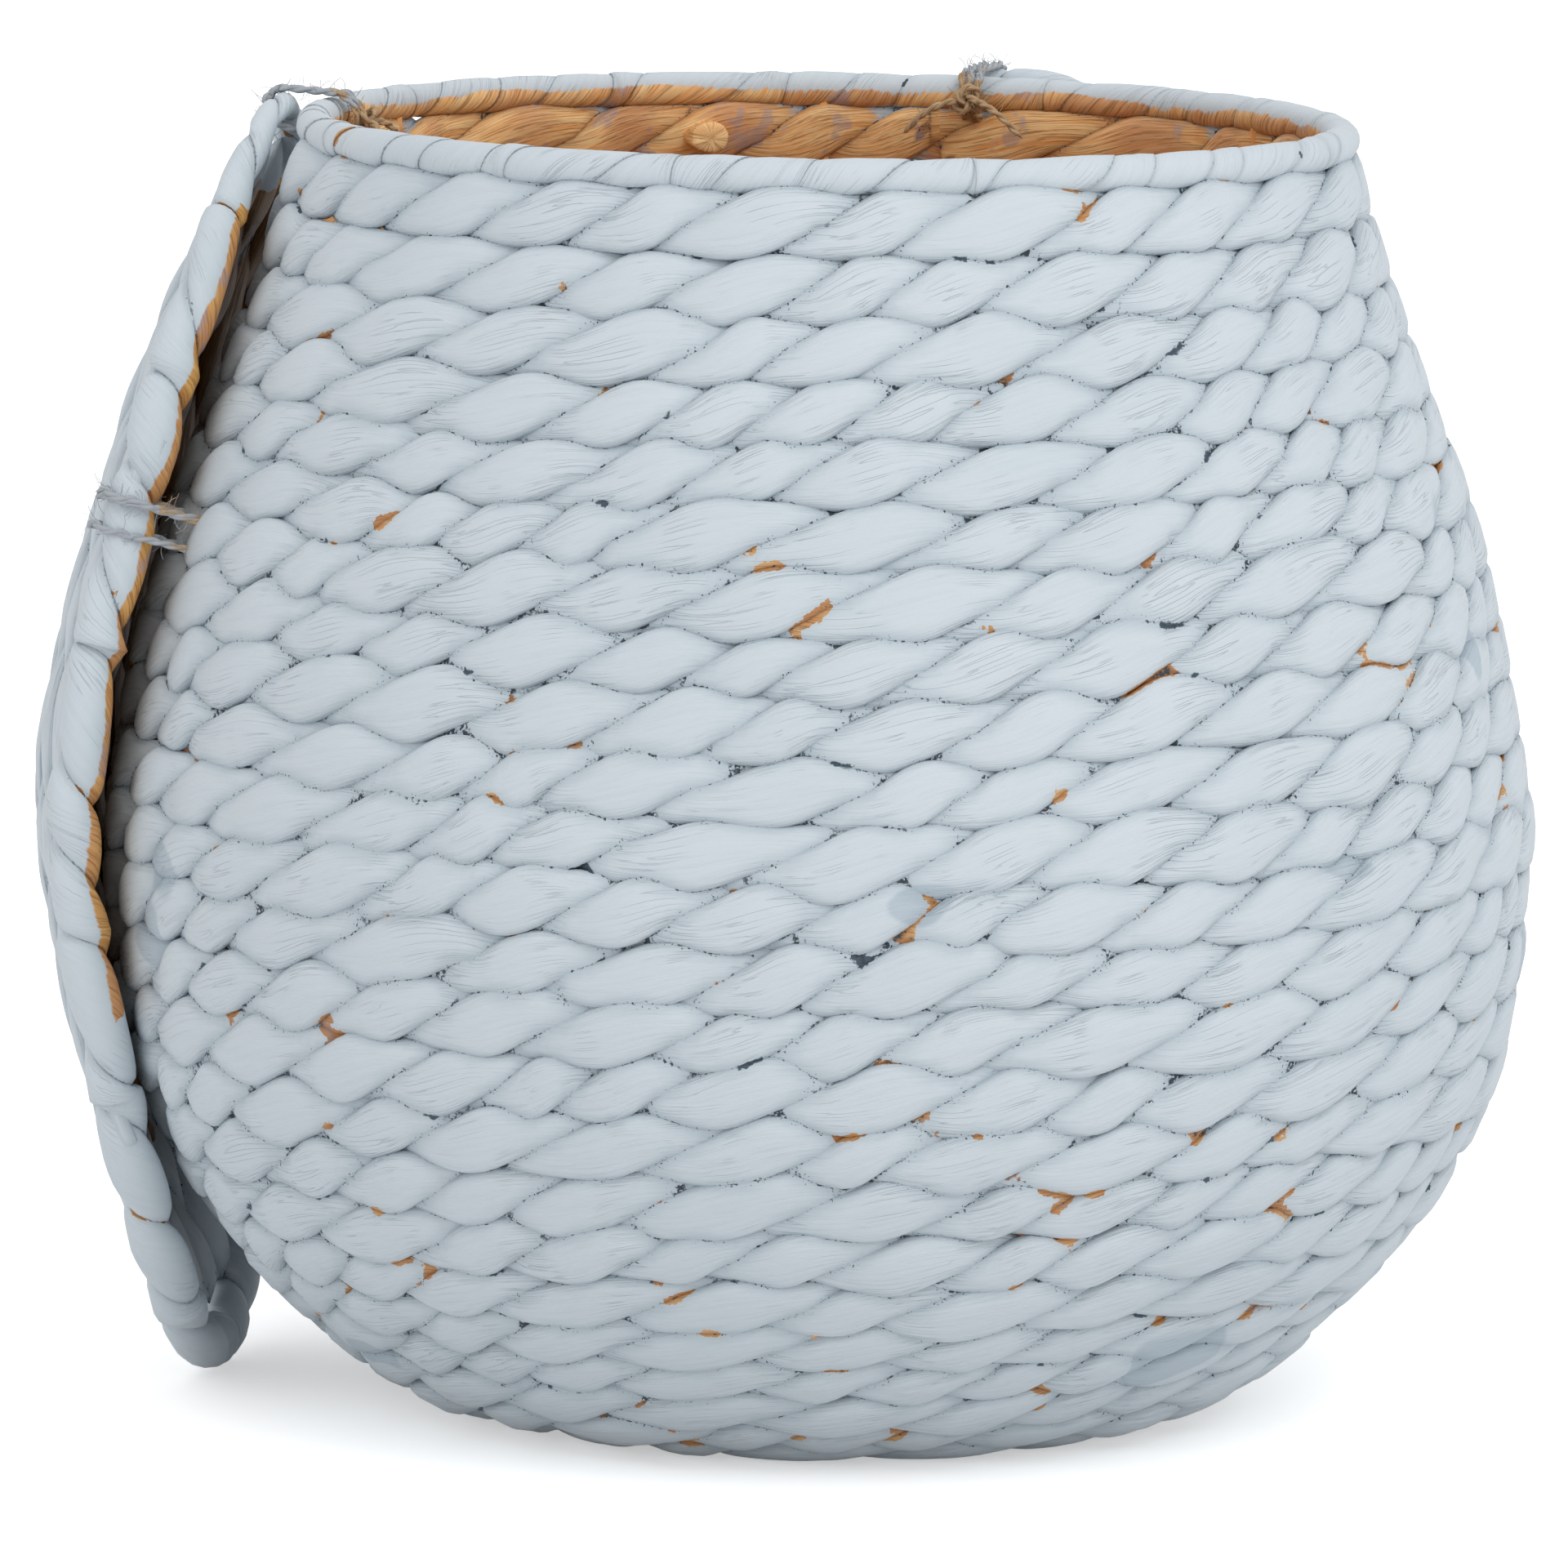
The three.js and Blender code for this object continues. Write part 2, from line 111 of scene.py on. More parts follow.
# The pit colour is painted shade: dark holes painted where strands meet at the seams, where no hole is cut.
pit_shade_colour = (0.060, 0.088, 0.118, 1)
amber_pale = (0.980, 0.680, 0.330, 1)
amber_mid = (0.900, 0.440, 0.152, 1)
amber_rosy = (0.640, 0.310, 0.150, 1)
# amber_deep is the dark of the fibre's threads, and also the painted shade of bare fibre in the seams.
amber_deep = (0.240, 0.095, 0.030, 1)
overspray_colour = (0.340, 0.300, 0.370, 1)


class Value:
    """A value in a node tree. A sum of values is written as a sum, and each step becomes a math node."""

    def __init__(self, socket):
        self.socket = socket

    def __add__(self, other):
        return calc("ADD", self, other)

    def __sub__(self, other):
        return calc("SUBTRACT", self, other)

    def __rsub__(self, other):
        return calc("SUBTRACT", other, self)

    def __mul__(self, other):
        return calc("MULTIPLY", self, other)

    def __truediv__(self, other):
        return calc("DIVIDE", self, other)

    def __abs__(self):
        return calc("ABSOLUTE", self)


def link(value, socket):
    """Sets a socket, by a link where the value comes from a node."""
    if isinstance(value, Value):
        socket.id_data.links.new(value.socket, socket)
    else:
        socket.default_value = value


def put(tree, kind, inputs=None, **settings):
    """A node with its settings, and its inputs linked or set."""
    node = tree.nodes.new(kind)
    for key, value in settings.items():
        setattr(node, key, value)
    for key, value in (inputs or {}).items():
        link(value, node.inputs[key])
    return node


def outputs(node):
    return {socket.name: Value(socket) for socket in node.outputs if socket.enabled}


def read(tree, kind, output=0, inputs=None, **settings):
    return Value(put(tree, kind, inputs, **settings).outputs[output])


def flow(kind, inputs, output=0, **settings):
    """What a new node gives. It stands in the tree that its inputs come from."""
    tree = next(value for value in inputs.values() if isinstance(value, Value)).socket.id_data
    return read(tree, kind, output, inputs, **settings)


def calc(operation, *values):
    return flow("ShaderNodeMath", dict(enumerate(values)), operation=operation)


def vector(x, y, z):
    return flow("ShaderNodeCombineXYZ", {0: x, 1: y, 2: z})


def scaled(direction, amount):
    return flow("ShaderNodeVectorMath", {0: direction, "Scale": amount}, operation="SCALE")


def summed(first, *others):
    for other in others:
        first = flow("ShaderNodeVectorMath", {0: first, 1: other}, operation="ADD")
    return first


def split(value):
    return list(outputs(put(value.socket.id_data, "ShaderNodeSeparateXYZ", {0: value})).values())


def squared_off(value, power):
    """A sine or cosine pushed outwards, so that a round section becomes a fuller one."""
    return calc("SIGN", value) * calc("POWER", abs(value), power)


def cloud(place, scale, detail=2.0):
    """Noise round 0.5, with so many cells to the unit."""
    return flow("ShaderNodeTexNoise", {"Vector": place, "Scale": scale, "Detail": detail})


def ramp(value, limits, ends=(0.0, 1.0), **settings):
    """A value carried from its limits to the ends, and held there beyond them."""
    inputs = {0: value, 1: limits[0], 2: limits[1], 3: ends[0], 4: ends[1]}
    return flow("ShaderNodeMapRange", inputs, **settings)


def blended(share, first, second):
    return flow("ShaderNodeMix", {0: share, 6: first, 7: second}, 2, data_type="RGBA")


def new_tree(name, kind, takes, gives):
    """A node tree with named inputs and outputs. An input is given by its default, or by its type alone."""
    tree = bpy.data.node_groups.new(name, kind)
    types = {float: "Float", int: "Int", tuple: "Color"}
    for title, value in takes.items():
        socket_type = "NodeSocket" + types.get(type(value), str(value))
        socket = tree.interface.new_socket(name=title, in_out="INPUT", socket_type=socket_type)
        if type(value) in types:
            socket.default_value = value
    for title, value in gives.items():
        tree.interface.new_socket(name=title, in_out="OUTPUT", socket_type="NodeSocket" + value)
    return tree, outputs(put(tree, "NodeGroupInput")), put(tree, "NodeGroupOutput").inputs


def new_material(name, values):
    """A material with its tree and its shader's inputs, after their plain values are set."""
    material = bpy.data.materials.new(name)
    material.use_nodes = True
    shader = material.node_tree.nodes["Principled BSDF"].inputs
    for title, value in values.items():
        shader[title].default_value = value
    return material, material.node_tree, shader


def bump(shader, height, strength, depth):
    inputs = {"Height": height, "Strength": strength, "Distance": depth}
    link(flow("ShaderNodeBump", inputs), shader["Normal"])


def enabled(node, name="Value"):
    return next(socket for socket in node.inputs if socket.name == name and socket.enabled)


def named_vector(tree, name):
    kind = "GeometryNodeInputNamedAttribute"
    return read(tree, kind, inputs={"Name": name}, data_type="FLOAT_VECTOR")


def sampled(curve, share, name):
    """A vector that the guide line carries, read at a share of its length, and the place there."""
    tree = curve.socket.id_data
    inputs = {"Curves": curve, "Factor": share}
    sample = put(tree, "GeometryNodeSampleCurve", inputs, data_type="FLOAT_VECTOR")
    link(named_vector(tree, name), enabled(sample))
    return outputs(sample)["Value"], outputs(sample)["Position"]


def marked(geometry, name, value, data_type="FLOAT", domain="POINT"):
    """The geometry with a named value stored on its points, or on its face corners."""
    inputs = {"Geometry": geometry, "Name": name}
    kind = "GeometryNodeStoreNamedAttribute"
    store = put(geometry.socket.id_data, kind, inputs, data_type=data_type, domain=domain)
    link(value, enabled(store))
    return outputs(store)["Geometry"]


def unit_grid(columns, rows):
    """A flat grid, and the share of its length and of its width at each of its points."""
    size = {"Size X": 1.0, "Size Y": 1.0, "Vertices X": columns, "Vertices Y": rows}
    x, y, _ = split(read(columns.socket.id_data, "GeometryNodeInputPosition"))
    return flow("GeometryNodeMeshGrid", size), x + 0.5, y + 0.5


def gathered(*parts):
    both = put(parts[0].socket.id_data, "GeometryNodeJoinGeometry")
    for part in parts:
        link(part, both.inputs[0])
    return outputs(both)["Geometry"]


def given_material(geometry, material):
    real = flow("GeometryNodeRealizeInstances", {"Geometry": geometry})
    return flow("GeometryNodeSetMaterial", {"Geometry": real, "Material": material})


def finished_surface(geometry, material, roughness_of_form):
    """Closed seams, small creases along the fibres, smooth shading and the material."""
    tree = geometry.socket.id_data
    merged = flow("GeometryNodeMergeByDistance", {"Geometry": geometry, "Distance": weld_distance})
    push = (cloud(named_vector(tree, "fibre"), crease_spread) - 0.5) * roughness_of_form
    offset = scaled(read(tree, "GeometryNodeInputNormal"), push)
    creased = flow("GeometryNodeSetPosition", {"Geometry": merged, "Offset": offset})
    return given_material(flow("GeometryNodeSetShadeSmooth", {"Geometry": creased}), material)


def make_twist_tree():
    """Two strands twisted round each other along a guide line that carries out, rise and lay directions.
    lay holds the turn in radians, the fullness of the lobe there, and how far it stands proud."""
    tree, given, result = new_tree("twisted_strand", "GeometryNodeTree", {
        "Guide": "Geometry", "Rise": 0.0, "Reach": 0.0, "Front Height": 0.0, "Side Height": 0.0,
        "Front Thickness": 0.0, "Side Thickness": 0.0, "Squareness": 1.0, "Creases": 0.0, "Stations": 0,
        "Sides": 0, "Seed": 0.0, "Material": "Material",
    }, {"Strand": "Geometry"})
    curve = flow("GeometryNodeMeshToCurve", {"Mesh": given["Guide"]})
    strands = []
    for number, start in enumerate((0.0, math.pi)):
        grid, share, turn = unit_grid(given["Stations"], given["Sides"])
        turn = turn * (-2 * math.pi)
        lay, place = sampled(curve, share, "lay")
        out, rise = sampled(curve, share, "out")[0], sampled(curve, share, "rise")[0]
        phase, fullness, proud = split(lay)
        phase = phase + start
        swing = calc("SINE", phase)
        front = swing * swing
        height, thick = (
            flow("ShaderNodeMix", {0: front, 2: given[f"Side {size}"], 3: given[f"Front {size}"]})
            for size in ("Height", "Thickness")
        )
        level, bulge = calc("COSINE", turn), calc("SINE", turn)
        climb = calc("COSINE", phase) * given["Rise"] * -1.0
        across = (height * squared_off(level, given["Squareness"]) + climb) * fullness
        swell = thick * squared_off(bulge, given["Squareness"]) * fullness
        depth = swing * given["Reach"] + swell
        facing = depth / (given["Reach"] + given["Front Thickness"])
        fibre = vector(level, bulge, phase * lobe_in_fibre + given["Seed"])
        grid = marked(grid, "fibre", fibre, "FLOAT_VECTOR", "CORNER")
        grid = marked(marked(grid, "facing", facing), "strand", float(number))
        moved = summed(place, scaled(rise, across), scaled(out, depth + proud))
        strands.append(flow("GeometryNodeSetPosition", {"Geometry": grid, "Position": moved}))
    surface = finished_surface(gathered(*strands), given["Material"], given["Creases"])
    link(surface, result["Strand"])
    return tree


def even(size, *titles):
    """The same size for the front and the sides of a twist."""
    return {f"{side} {title}": size for title in titles for side in ("Front", "Side")}


def joined(parts):
    """The first of the parts, with the others joined into it."""
    with bpy.context.temp_override(
        active_object=parts[0], selected_editable_objects=parts, selected_objects=parts
    ):
        bpy.ops.object.join()
    return parts[0]


def radial_at(angle):
    return Vector((math.cos(angle), math.sin(angle), 0))


def spot(radial, outward, height):
    return radial * outward + upright * height


def end_fullness(from_end, rounding):
    """The share of the full section at a distance from an end that is rounded off."""
    return math.sqrt(max(0.0, 1 - max(0.0, 1 - from_end / rounding) ** 2))


def guide_line(name, points):
    """A line of points, each given as place, out, rise and lay, for a tree to follow."""
    mesh = bpy.data.meshes.new(name)
    edges = [(i, i + 1) for i in range(len(points) - 1)]
    mesh.from_pydata([point[0] for point in points], edges, [])
    for title, index in (("out", 1), ("rise", 2), ("lay", 3)):
        attribute = mesh.attributes.new(title, "FLOAT_VECTOR", "POINT")
        attribute.data.foreach_set("vector", [value for point in points for value in point[index]])
    return new_object(name, mesh)


def made_by(tree, name, guide, values):
    """The plain mesh that a tree makes on a guide, as a new object. The guide is removed."""
    modifier = guide.modifiers.new("form", "NODES")
    modifier.node_group = tree
    sockets = {s.name: s.identifier for s in tree.interface.items_tree if s.in_out == "INPUT"}
    for title, value in values.items():
        modifier[sockets[title]] = value
    evaluated = guide.evaluated_get(bpy.context.evaluated_depsgraph_get())
    mesh = bpy.data.meshes.new_from_object(evaluated)
    bpy.data.objects.remove(guide)
    mesh.name = name
    return new_object(name, mesh)


def lay_values(count, closed, seed, unevenness=lobe_unevenness):
    """(share of the length, turn in radians, fullness, push) at points along a run of lobes."""
    chance = random.Random(seed)
    sizes = [1 + unevenness * chance.uniform(-1, 1) for _ in range(count)]
    places = [sum(sizes[:i]) / sum(sizes) for i in range(count + 1)]
    fulls = [
        1 + fullness_unevenness * chance.uniform(-1, 1) + fullness_with_length * (size - 1)
        for size in sizes
    ]
    pushes = [push_unevenness * chance.uniform(-1, 1) for _ in range(count)]
    rows = []
    for i in range(count * guide_points_per_lobe + 1):
        lobe, within = divmod(i, guide_points_per_lobe)
        within /= guide_points_per_lobe
        near = lobe + (1 if within > 0.5 else -1)
        this, near = (k % count if closed else min(max(k, 0), count - 1) for k in (lobe, near))
        start, end = places[min(lobe, count)], places[min(lobe + 1, count)]
        ease = 2 * (within - 0.5) ** 2
        full, push = (values[this] + (values[near] - values[this]) * ease for values in (fulls, pushes))
        rows.append((start + (end - start) * within, (lobe + within) * math.pi, full, push))
    return rows


def ring_guide(name, radius, height, out_slope, rise_slope, seed, sway=0.0):
    """A level ring from its (radius, height), with the (radial, upward) parts of its two directions.
    The rings start behind the right flap, so that their first lobes don't line up in sight."""
    count = max(5, round(2 * math.pi * radius / lobe_pitch))
    count += 1 - count % 2
    chance = random.Random(seed + 0.5)
    starts = [chance.uniform(0, 2 * math.pi) for _ in range(2)]
    first = ring_start + ring_start_spread * chance.uniform(-1, 1)
    points = []
    for share, turn, full, push in lay_values(count, True, seed):
        angle = first + 2 * math.pi * share
        radial = radial_at(angle)
        out, rise = spot(radial, *out_slope), spot(radial, *rise_slope)
        drift = sum(
            share * math.sin(waves * angle + lean * height + shift)
            for share, waves, lean, shift in common_waves
        )
        drift += sum(
            share * math.sin(waves * angle + start) for (share, waves), start in zip(own_waves, starts)
        )
        place = spot(radial, radius, height) + rise * sway * drift
        points.append((place, out, rise, (turn, full, push)))
    return guide_line(name, points), count


# Paint on strand. Patches are given by their cells to the metre, the two noise values between which they
# set in, and the detail of the noise. A drift has an amount in place of the two values, a reach is two
# distances from a seam, and the cells of the fibre are counted across it and along it.
streak_cells, thread_cells, furrow_cells, tone_cells = (9.0, 2.2), (21.0, 3.4), (6.0, 0.9), 1.3
furrow_band, furrow_patch = (0.002, 0.014), (46.0, (0.46, 0.62))
raggedness = 760.0, 0.0017, 3.0
# The near and fine reaches set how far painted shade spreads out from a seam.
near_shade_reach, fine_shade_reach = (0.0001, 0.0030), (0.0, 0.0007)
line_reach, dot_reach, pit_reach = (-0.00010, 0.00018), (0.0004, 0.0013), (0.0005, 0.0008)
line_grain, line_patch = (1000.0, (0.40, 0.50)), (170.0, (0.44, 0.54), 3.0)
dot_grain, dot_patch = (1300.0, (0.66, 0.69), 1.0), (110.0, (0.44, 0.56))
pit_patch = 72.0, (0.685, 0.70)
foot_band, foot_missed = (0.05, 0.16), 0.022
missed_cells, sliver_slope, widest_sliver, sliver_edge = 42.0, 0.026, 0.0014, (-0.00012, 0.00002)
edge_fine_drift, edge_wide_drift, edge_softness = (70.0, 0.6), (27.0, 0.8, 1.0), (-0.06, 0.06)
low_drift, high_drift = (25.0, 3.0, 0.2), (60.0, 2.0, 0.02)
mist_patch, blot_patch = (80.0, (0.60, 0.66), 3.0), (19.0, (0.715, 0.73), 1.0)
haze_patch = 14.0, (0.40, 0.75), 3.0
pale_band, rosy_band, thread_band, worn_band = (0.30, 0.66), (0.44, 0.62), (0.52, 0.62), (0.40, 0.75)
# The bare near, fine and sliver shares set how much painted shade darkens bare fibre in the seams.
rosy_share, thread_share, bare_near_shade_share, bare_fine_shade_share, sliver_shade_share = 0.70, 0.55, 0.30, 0.55, 0.40
haze_share, blot_share, worn_share, crease_shade_share, paint_fine_shade_share = 0.10, 0.55, 0.10, 0.30, 0.08
bare_roughness, paint_roughness, thread_roughness = 0.46, 0.18, 0.10
streak_relief, thread_relief, crease_relief = 0.60, 0.18, 0.22
strand_bump, strand_bump_depth, strand_gloss = 0.8, 0.0007, 0.35


def make_strand_surface():
    """Shared by all strand: paint over bare fibre, cracks, missed slivers and painted shade in the seams,
    fine creases.
    """
    tree, given, result = new_tree("strand_surface", "ShaderNodeTree", {
        "Paint Edge": -0.2, "Paint Fray": 0.8, "Missed Paint": 0.34, "Overspray": 0.45,
        "Painted Below": -1.0, "Painted Above": 1.0, "Cracks": 1.0, "Seam Shade": 0.26,
        "Paint": paint_colour, "Stain": stain_colour, "Crevice Shade": crevice_shade_colour,
        "Pale Fibre": amber_pale, "Mid Fibre": amber_mid, "Rosy Fibre": amber_rosy,
        "Deep Fibre": amber_deep,
    }, {"Color": "Color", "Roughness": "Float", "Height": "Float"})
    place = read(tree, "ShaderNodeTexCoord", "Object")
    parts = split(read(tree, "ShaderNodeAttribute", "Vector", attribute_name="fibre"))
    facing = read(tree, "ShaderNodeAttribute", "Fac", attribute_name="facing")
    seam = read(tree, "ShaderNodeAttribute", "Fac", attribute_name="seam")
    height = split(place)[2]

    def band(value, limits):
        return ramp(value, limits, interpolation_type="SMOOTHSTEP")

    def under(value, limits):
        return 1.0 - band(value, limits)

    def patches(cells, limits, detail=2.0):
        return band(cloud(place, cells, detail), limits)

    def drift(cells, amount, detail=2.0):
        return (cloud(place, cells, detail) - 0.5) * amount

    def along_fibre(cells, detail):
        return cloud(vector(parts[0] * cells[0], parts[1] * cells[0], parts[2] * cells[1]), 1.0, detail)

    def layered(first, *layers):
        """The first colour under layers of (share, colour)."""
        for share, colour in layers:
            first = blended(share, first, colour)
        return first

    streak = along_fibre(streak_cells, 3.0)
    thread = along_fibre(thread_cells, 2.0)
    tone = cloud(vector(0.0, 0.0, parts[2] * tone_cells), 1.0, 0.0)
    # crease marks furrows along the fibre: the bump cuts them, and the paint is darkened in them as painted
    # shade.
    crease = under(abs(along_fibre(furrow_cells, 1.5) - 0.5), furrow_band) * patches(*furrow_patch)

    ragged = seam + drift(*raggedness)
    # near and fine are painted shade: they darken the strand towards its seams, where the lobes shade each
    # other.
    near, fine = under(seam, near_shade_reach), under(seam, fine_shade_reach)
    line = under(ragged, line_reach) * (patches(*line_grain) * patches(*line_patch))
    dots = under(seam, dot_reach) * (patches(*dot_grain) * patches(*dot_patch))
    crack = calc("MAXIMUM", line, dots) * given["Cracks"]
    # pit paints dark holes at seam junctions, as painted shade for holes that the mesh doesn't have.
    pit = under(ragged, pit_reach) * patches(*pit_patch)
    missed = given["Missed Paint"] + under(height, foot_band) * foot_missed
    width = calc("MINIMUM", (missed - cloud(place, missed_cells)) * sliver_slope, widest_sliver)
    sliver = under(calc("MAXIMUM", ragged, 0.0) - width, sliver_edge)

    edge = facing + drift(*edge_fine_drift) + (streak - 0.5) * given["Paint Fray"] + drift(*edge_wide_drift)
    covered = band(edge - given["Paint Edge"], edge_softness)
    low = height + cloud(place, *low_drift[:2]) * low_drift[2]
    high = height + cloud(place, *high_drift[:2]) * high_drift[2]
    covered = calc("MAXIMUM", covered, calc("LESS_THAN", low, given["Painted Below"]))
    covered = calc("MAXIMUM", covered, calc("GREATER_THAN", high, given["Painted Above"]))
    covered = covered * (1.0 - sliver)

    bare = layered(
        given["Mid Fibre"],
        (band(streak, pale_band), given["Pale Fibre"]),
        (band(tone, rosy_band) * rosy_share, given["Rosy Fibre"]),
        (band(thread, thread_band) * thread_share, given["Deep Fibre"]),
        # Painted shade: bare fibre darkens to deep amber near the seams and in the missed slivers there.
        (near * bare_near_shade_share, given["Deep Fibre"]),
        (fine * bare_fine_shade_share, given["Deep Fibre"]),
        (patches(*mist_patch) * given["Overspray"], overspray_colour),
        (sliver * sliver_shade_share, given["Deep Fibre"]),
    )
    paint = layered(
        given["Paint"],
        (patches(*haze_patch) * haze_share, given["Stain"]),
        (patches(*blot_patch) * blot_share, given["Stain"]),
        (band(streak, worn_band) * worn_share, given["Stain"]),
        # The crease, near and fine layers below are painted shade in the creases and seams.
        (crease * crease_shade_share, given["Crevice Shade"]),
        (near * given["Seam Shade"], given["Crevice Shade"]),
        (fine * paint_fine_shade_share, given["Crevice Shade"]),
    )
    colour = layered(bare, (covered, paint), (pit * covered, pit_shade_colour), (crack, crack_colour))
    link(colour, result["Color"])
    link(covered * paint_roughness + bare_roughness + thread * thread_roughness, result["Roughness"])
    link(streak * streak_relief + thread * thread_relief - crease * crease_relief, result["Height"])
    return tree


strand_surface = make_strand_surface()


def strand_material(name, values):
    """Twisted or wound strand, with its own share of paint."""
    material, tree, shader = new_material(name, {"Specular IOR Level": strand_gloss})
    surface = outputs(put(tree, "ShaderNodeGroup", values, node_tree=strand_surface))
    link(surface["Color"], shader["Base Color"])
    link(surface["Roughness"], shader["Roughness"])
    bump(shader, surface["Height"], strand_bump, strand_bump_depth)
    return material


def course_section(node):
    """Centre (radius, height) of a course's section, read where it crosses the plain back."""
    corners = {
        (round(-v.co.y, 5), round(v.co.z, 5))
        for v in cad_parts[node].data.vertices
        if abs(v.co.x) < 1e-5 and v.co.y < 0
    }
    return tuple(sum(values) / len(corners) for values in zip(*corners))


# Each hump is given by its height on the wall, its reach up and down, and its amount.
shoulder_hump = 0.275, 0.045, 0.0010
belly_hump = 0.047, 0.020, -0.0032
top_hump = 0.343, 0.006, 0.0013


def settled(radius, height):
    """A course as it lies in this basket, drawn in a little under the belly, and full at the shoulder."""

    def hump(middle, reach, amount):
        share = (height - middle) / reach
        return amount * math.exp(-share * share)

    return radius + (hump(*shoulder_hump) + hump(*belly_hump)), height + hump(*top_hump)


def stand_on_floor(piece):
    """Presses what would reach into the floor flat against it, with a soft edge."""
    for vertex in piece.data.vertices:
        z = vertex.co.z
        vertex.co.z = 0.5 * (z + math.sqrt(z * z + 4 * floor_edge * floor_edge))


def seat(piece, body, node):
    """A piece takes the place of its node and moves with its body."""
    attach(piece, body)
    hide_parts(node)


def mark_seams(rows):
    """Stores how far each point is from the strands beside it, below nought where it is pressed into one.
    rows holds pieces in the order in which they lie against each other."""
    held = []
    for mesh in (piece.data for piece in rows):
        owner = [round(value.value) for value in mesh.attributes["strand"].data]
        faces = ([], [])
        for polygon in mesh.polygons:
            faces[owner[polygon.vertices[0]]].append(tuple(polygon.vertices))
        held.append((mesh, [vertex.co.copy() for vertex in mesh.vertices], owner, faces))
    for i, (mesh, points, owner, _) in enumerate(held):
        marks = [seam_reach] * len(points)
        seam = mesh.attributes.get("seam")
        if seam:
            seam.data.foreach_get("value", marks)
        for own in set(owner):
            beside_points, beside_faces = [], []
            for j in range(max(i - 1, 0), min(i + 2, len(rows))):
                first = len(beside_points)
                beside_points += held[j][1]
                for half in (0, 1):
                    if (j, half) != (i, own):
                        beside_faces += [tuple(v + first for v in face) for face in held[j][3][half]]
            tree = BVHTree.FromPolygons(beside_points, beside_faces)
            for k, point in enumerate(points):
                if owner[k] == own:
                    found, normal, _, distance = tree.find_nearest(point, seam_reach)
                    if found:
                        signed = distance if (point - found).dot(normal) > 0 else -distance
                        marks[k] = min(marks[k], signed)
        seam = seam or mesh.attributes.new("seam", "FLOAT", "POINT")
        seam.data.foreach_set("value", marks)


wall_strand = strand_material("wall_strand", {"Paint Edge": -0.20, "Missed Paint": 0.345})
twist_tree = make_twist_tree()
twist_sizes = {
    "Rise": 0.0037, "Reach": 0.0021, "Front Height": 0.0093, "Side Height": 0.0062,
    "Front Thickness": 0.0037, "Side Thickness": 0.0040, "Squareness": 0.71, "Creases": 0.0015,
    "Sides": 17,
}


def twisted(name, run, values):
    """A twisted strand on a guide, which comes with its count of lobes."""
    guide, lobes = run
    stations = {"Stations": lobes * stations_per_lobe + 1}
    return made_by(twist_tree, name, guide, {**twist_sizes, **stations, **values})


wall_nodes = sorted(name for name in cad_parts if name.startswith("wall_course"))
wall_sections = [settled(*course_section(name)) for name in wall_nodes]
wall_pieces = []

for i, node in enumerate(wall_nodes):
    below = wall_sections[max(i - 1, 0)]
    above = wall_sections[min(i + 1, len(wall_nodes) - 1)]
    span = math.dist(below, above)
    climb = ((above[0] - below[0]) / span, (above[1] - below[1]) / span)
    outward = (climb[1], -climb[0])
    sway = wall_sway * min(1, i / still_courses, (len(wall_nodes) - 1 - i) / still_courses)
    run = ring_guide(f"{node}_guide", *wall_sections[i], outward, climb, wall_seed + i, sway)
    piece = twisted(f"{node}_strand", run, {"Seed": 17.3 * i, "Material": wall_strand})
    if i < floor_courses:
        stand_on_floor(piece)
    if node != wall_nodes[-1]:
        seat(piece, "basket", node)
    wall_pieces.append(piece)


# Base: flat courses of the same strand, laid in rings round a tightly coiled start and worked into the
# first wall course. It hides under the basket and shows at the bottom of the inside. Bare, with a little
# spray below.
# The rings of the start: radius, and the strand's height in front and at the sides of its twist.
start_rings = (0.0045, 0.0048, 0.0030), (0.0125, 0.0050, 0.0032), (0.0215, 0.0052, 0.0034)
start_seed, base_seed = 61, 40
base_strand = strand_material("base_strand", {"Paint Edge": 0.35, "Missed Paint": 0.45, "Overspray": 0.5})
base_sizes = {"Reach": 0.0015, **even(0.0026, "Thickness"), "Material": base_strand}
base_nodes = sorted(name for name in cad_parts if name.startswith("base_course"))
base_sections = [course_section(name) for name in base_nodes]
base_pieces = []
down, radially = (0.0, -1.0), (1.0, 0.0)

start_parts = []
for i, (radius, front, side) in enumerate(start_rings):
    run = ring_guide(f"base_start_guide_{i}", radius, base_sections[0][1], down, radially, start_seed + i)
    start_parts.append(twisted(f"base_start_ring_{i}", run, {
        **base_sizes, "Rise": 0.0018, "Front Height": front, "Side Height": side, "Creases": 0.0004,
        "Seed": 5.1 * i,
    }))
start_piece = joined(start_parts)
start_piece.name = start_piece.data.name = "base_start_strand"
stand_on_floor(start_piece)
seat(start_piece, "basket", "base_start")

for i, node in enumerate(base_nodes):
    run = ring_guide(f"{node}_guide", *base_sections[i], down, radially, base_seed + i)
    piece = twisted(f"{node}_strand", run, {**base_sizes, "Seed": 31.7 * i})
    stand_on_floor(piece)
    seat(piece, "basket", node)
    base_pieces.append(piece)
mark_seams([start_piece] + base_pieces)


# Rim: flat strand wound obliquely round the wire rim hoop, lap over lap, and caught under the top course.
# The spray covers its top and outside, and leaves the inner underside bare.
rim_section = course_section("rim_wrap")
rim_turns = 47
rim_steps = 180
lap_end = 0.985
lap_roundness = 3.0
drift_waves = ((13, 0.0), (21, 1.7))
plump_waves = ((17, 0.6), (29, 2.2))
seed_in_fibre = 0.37


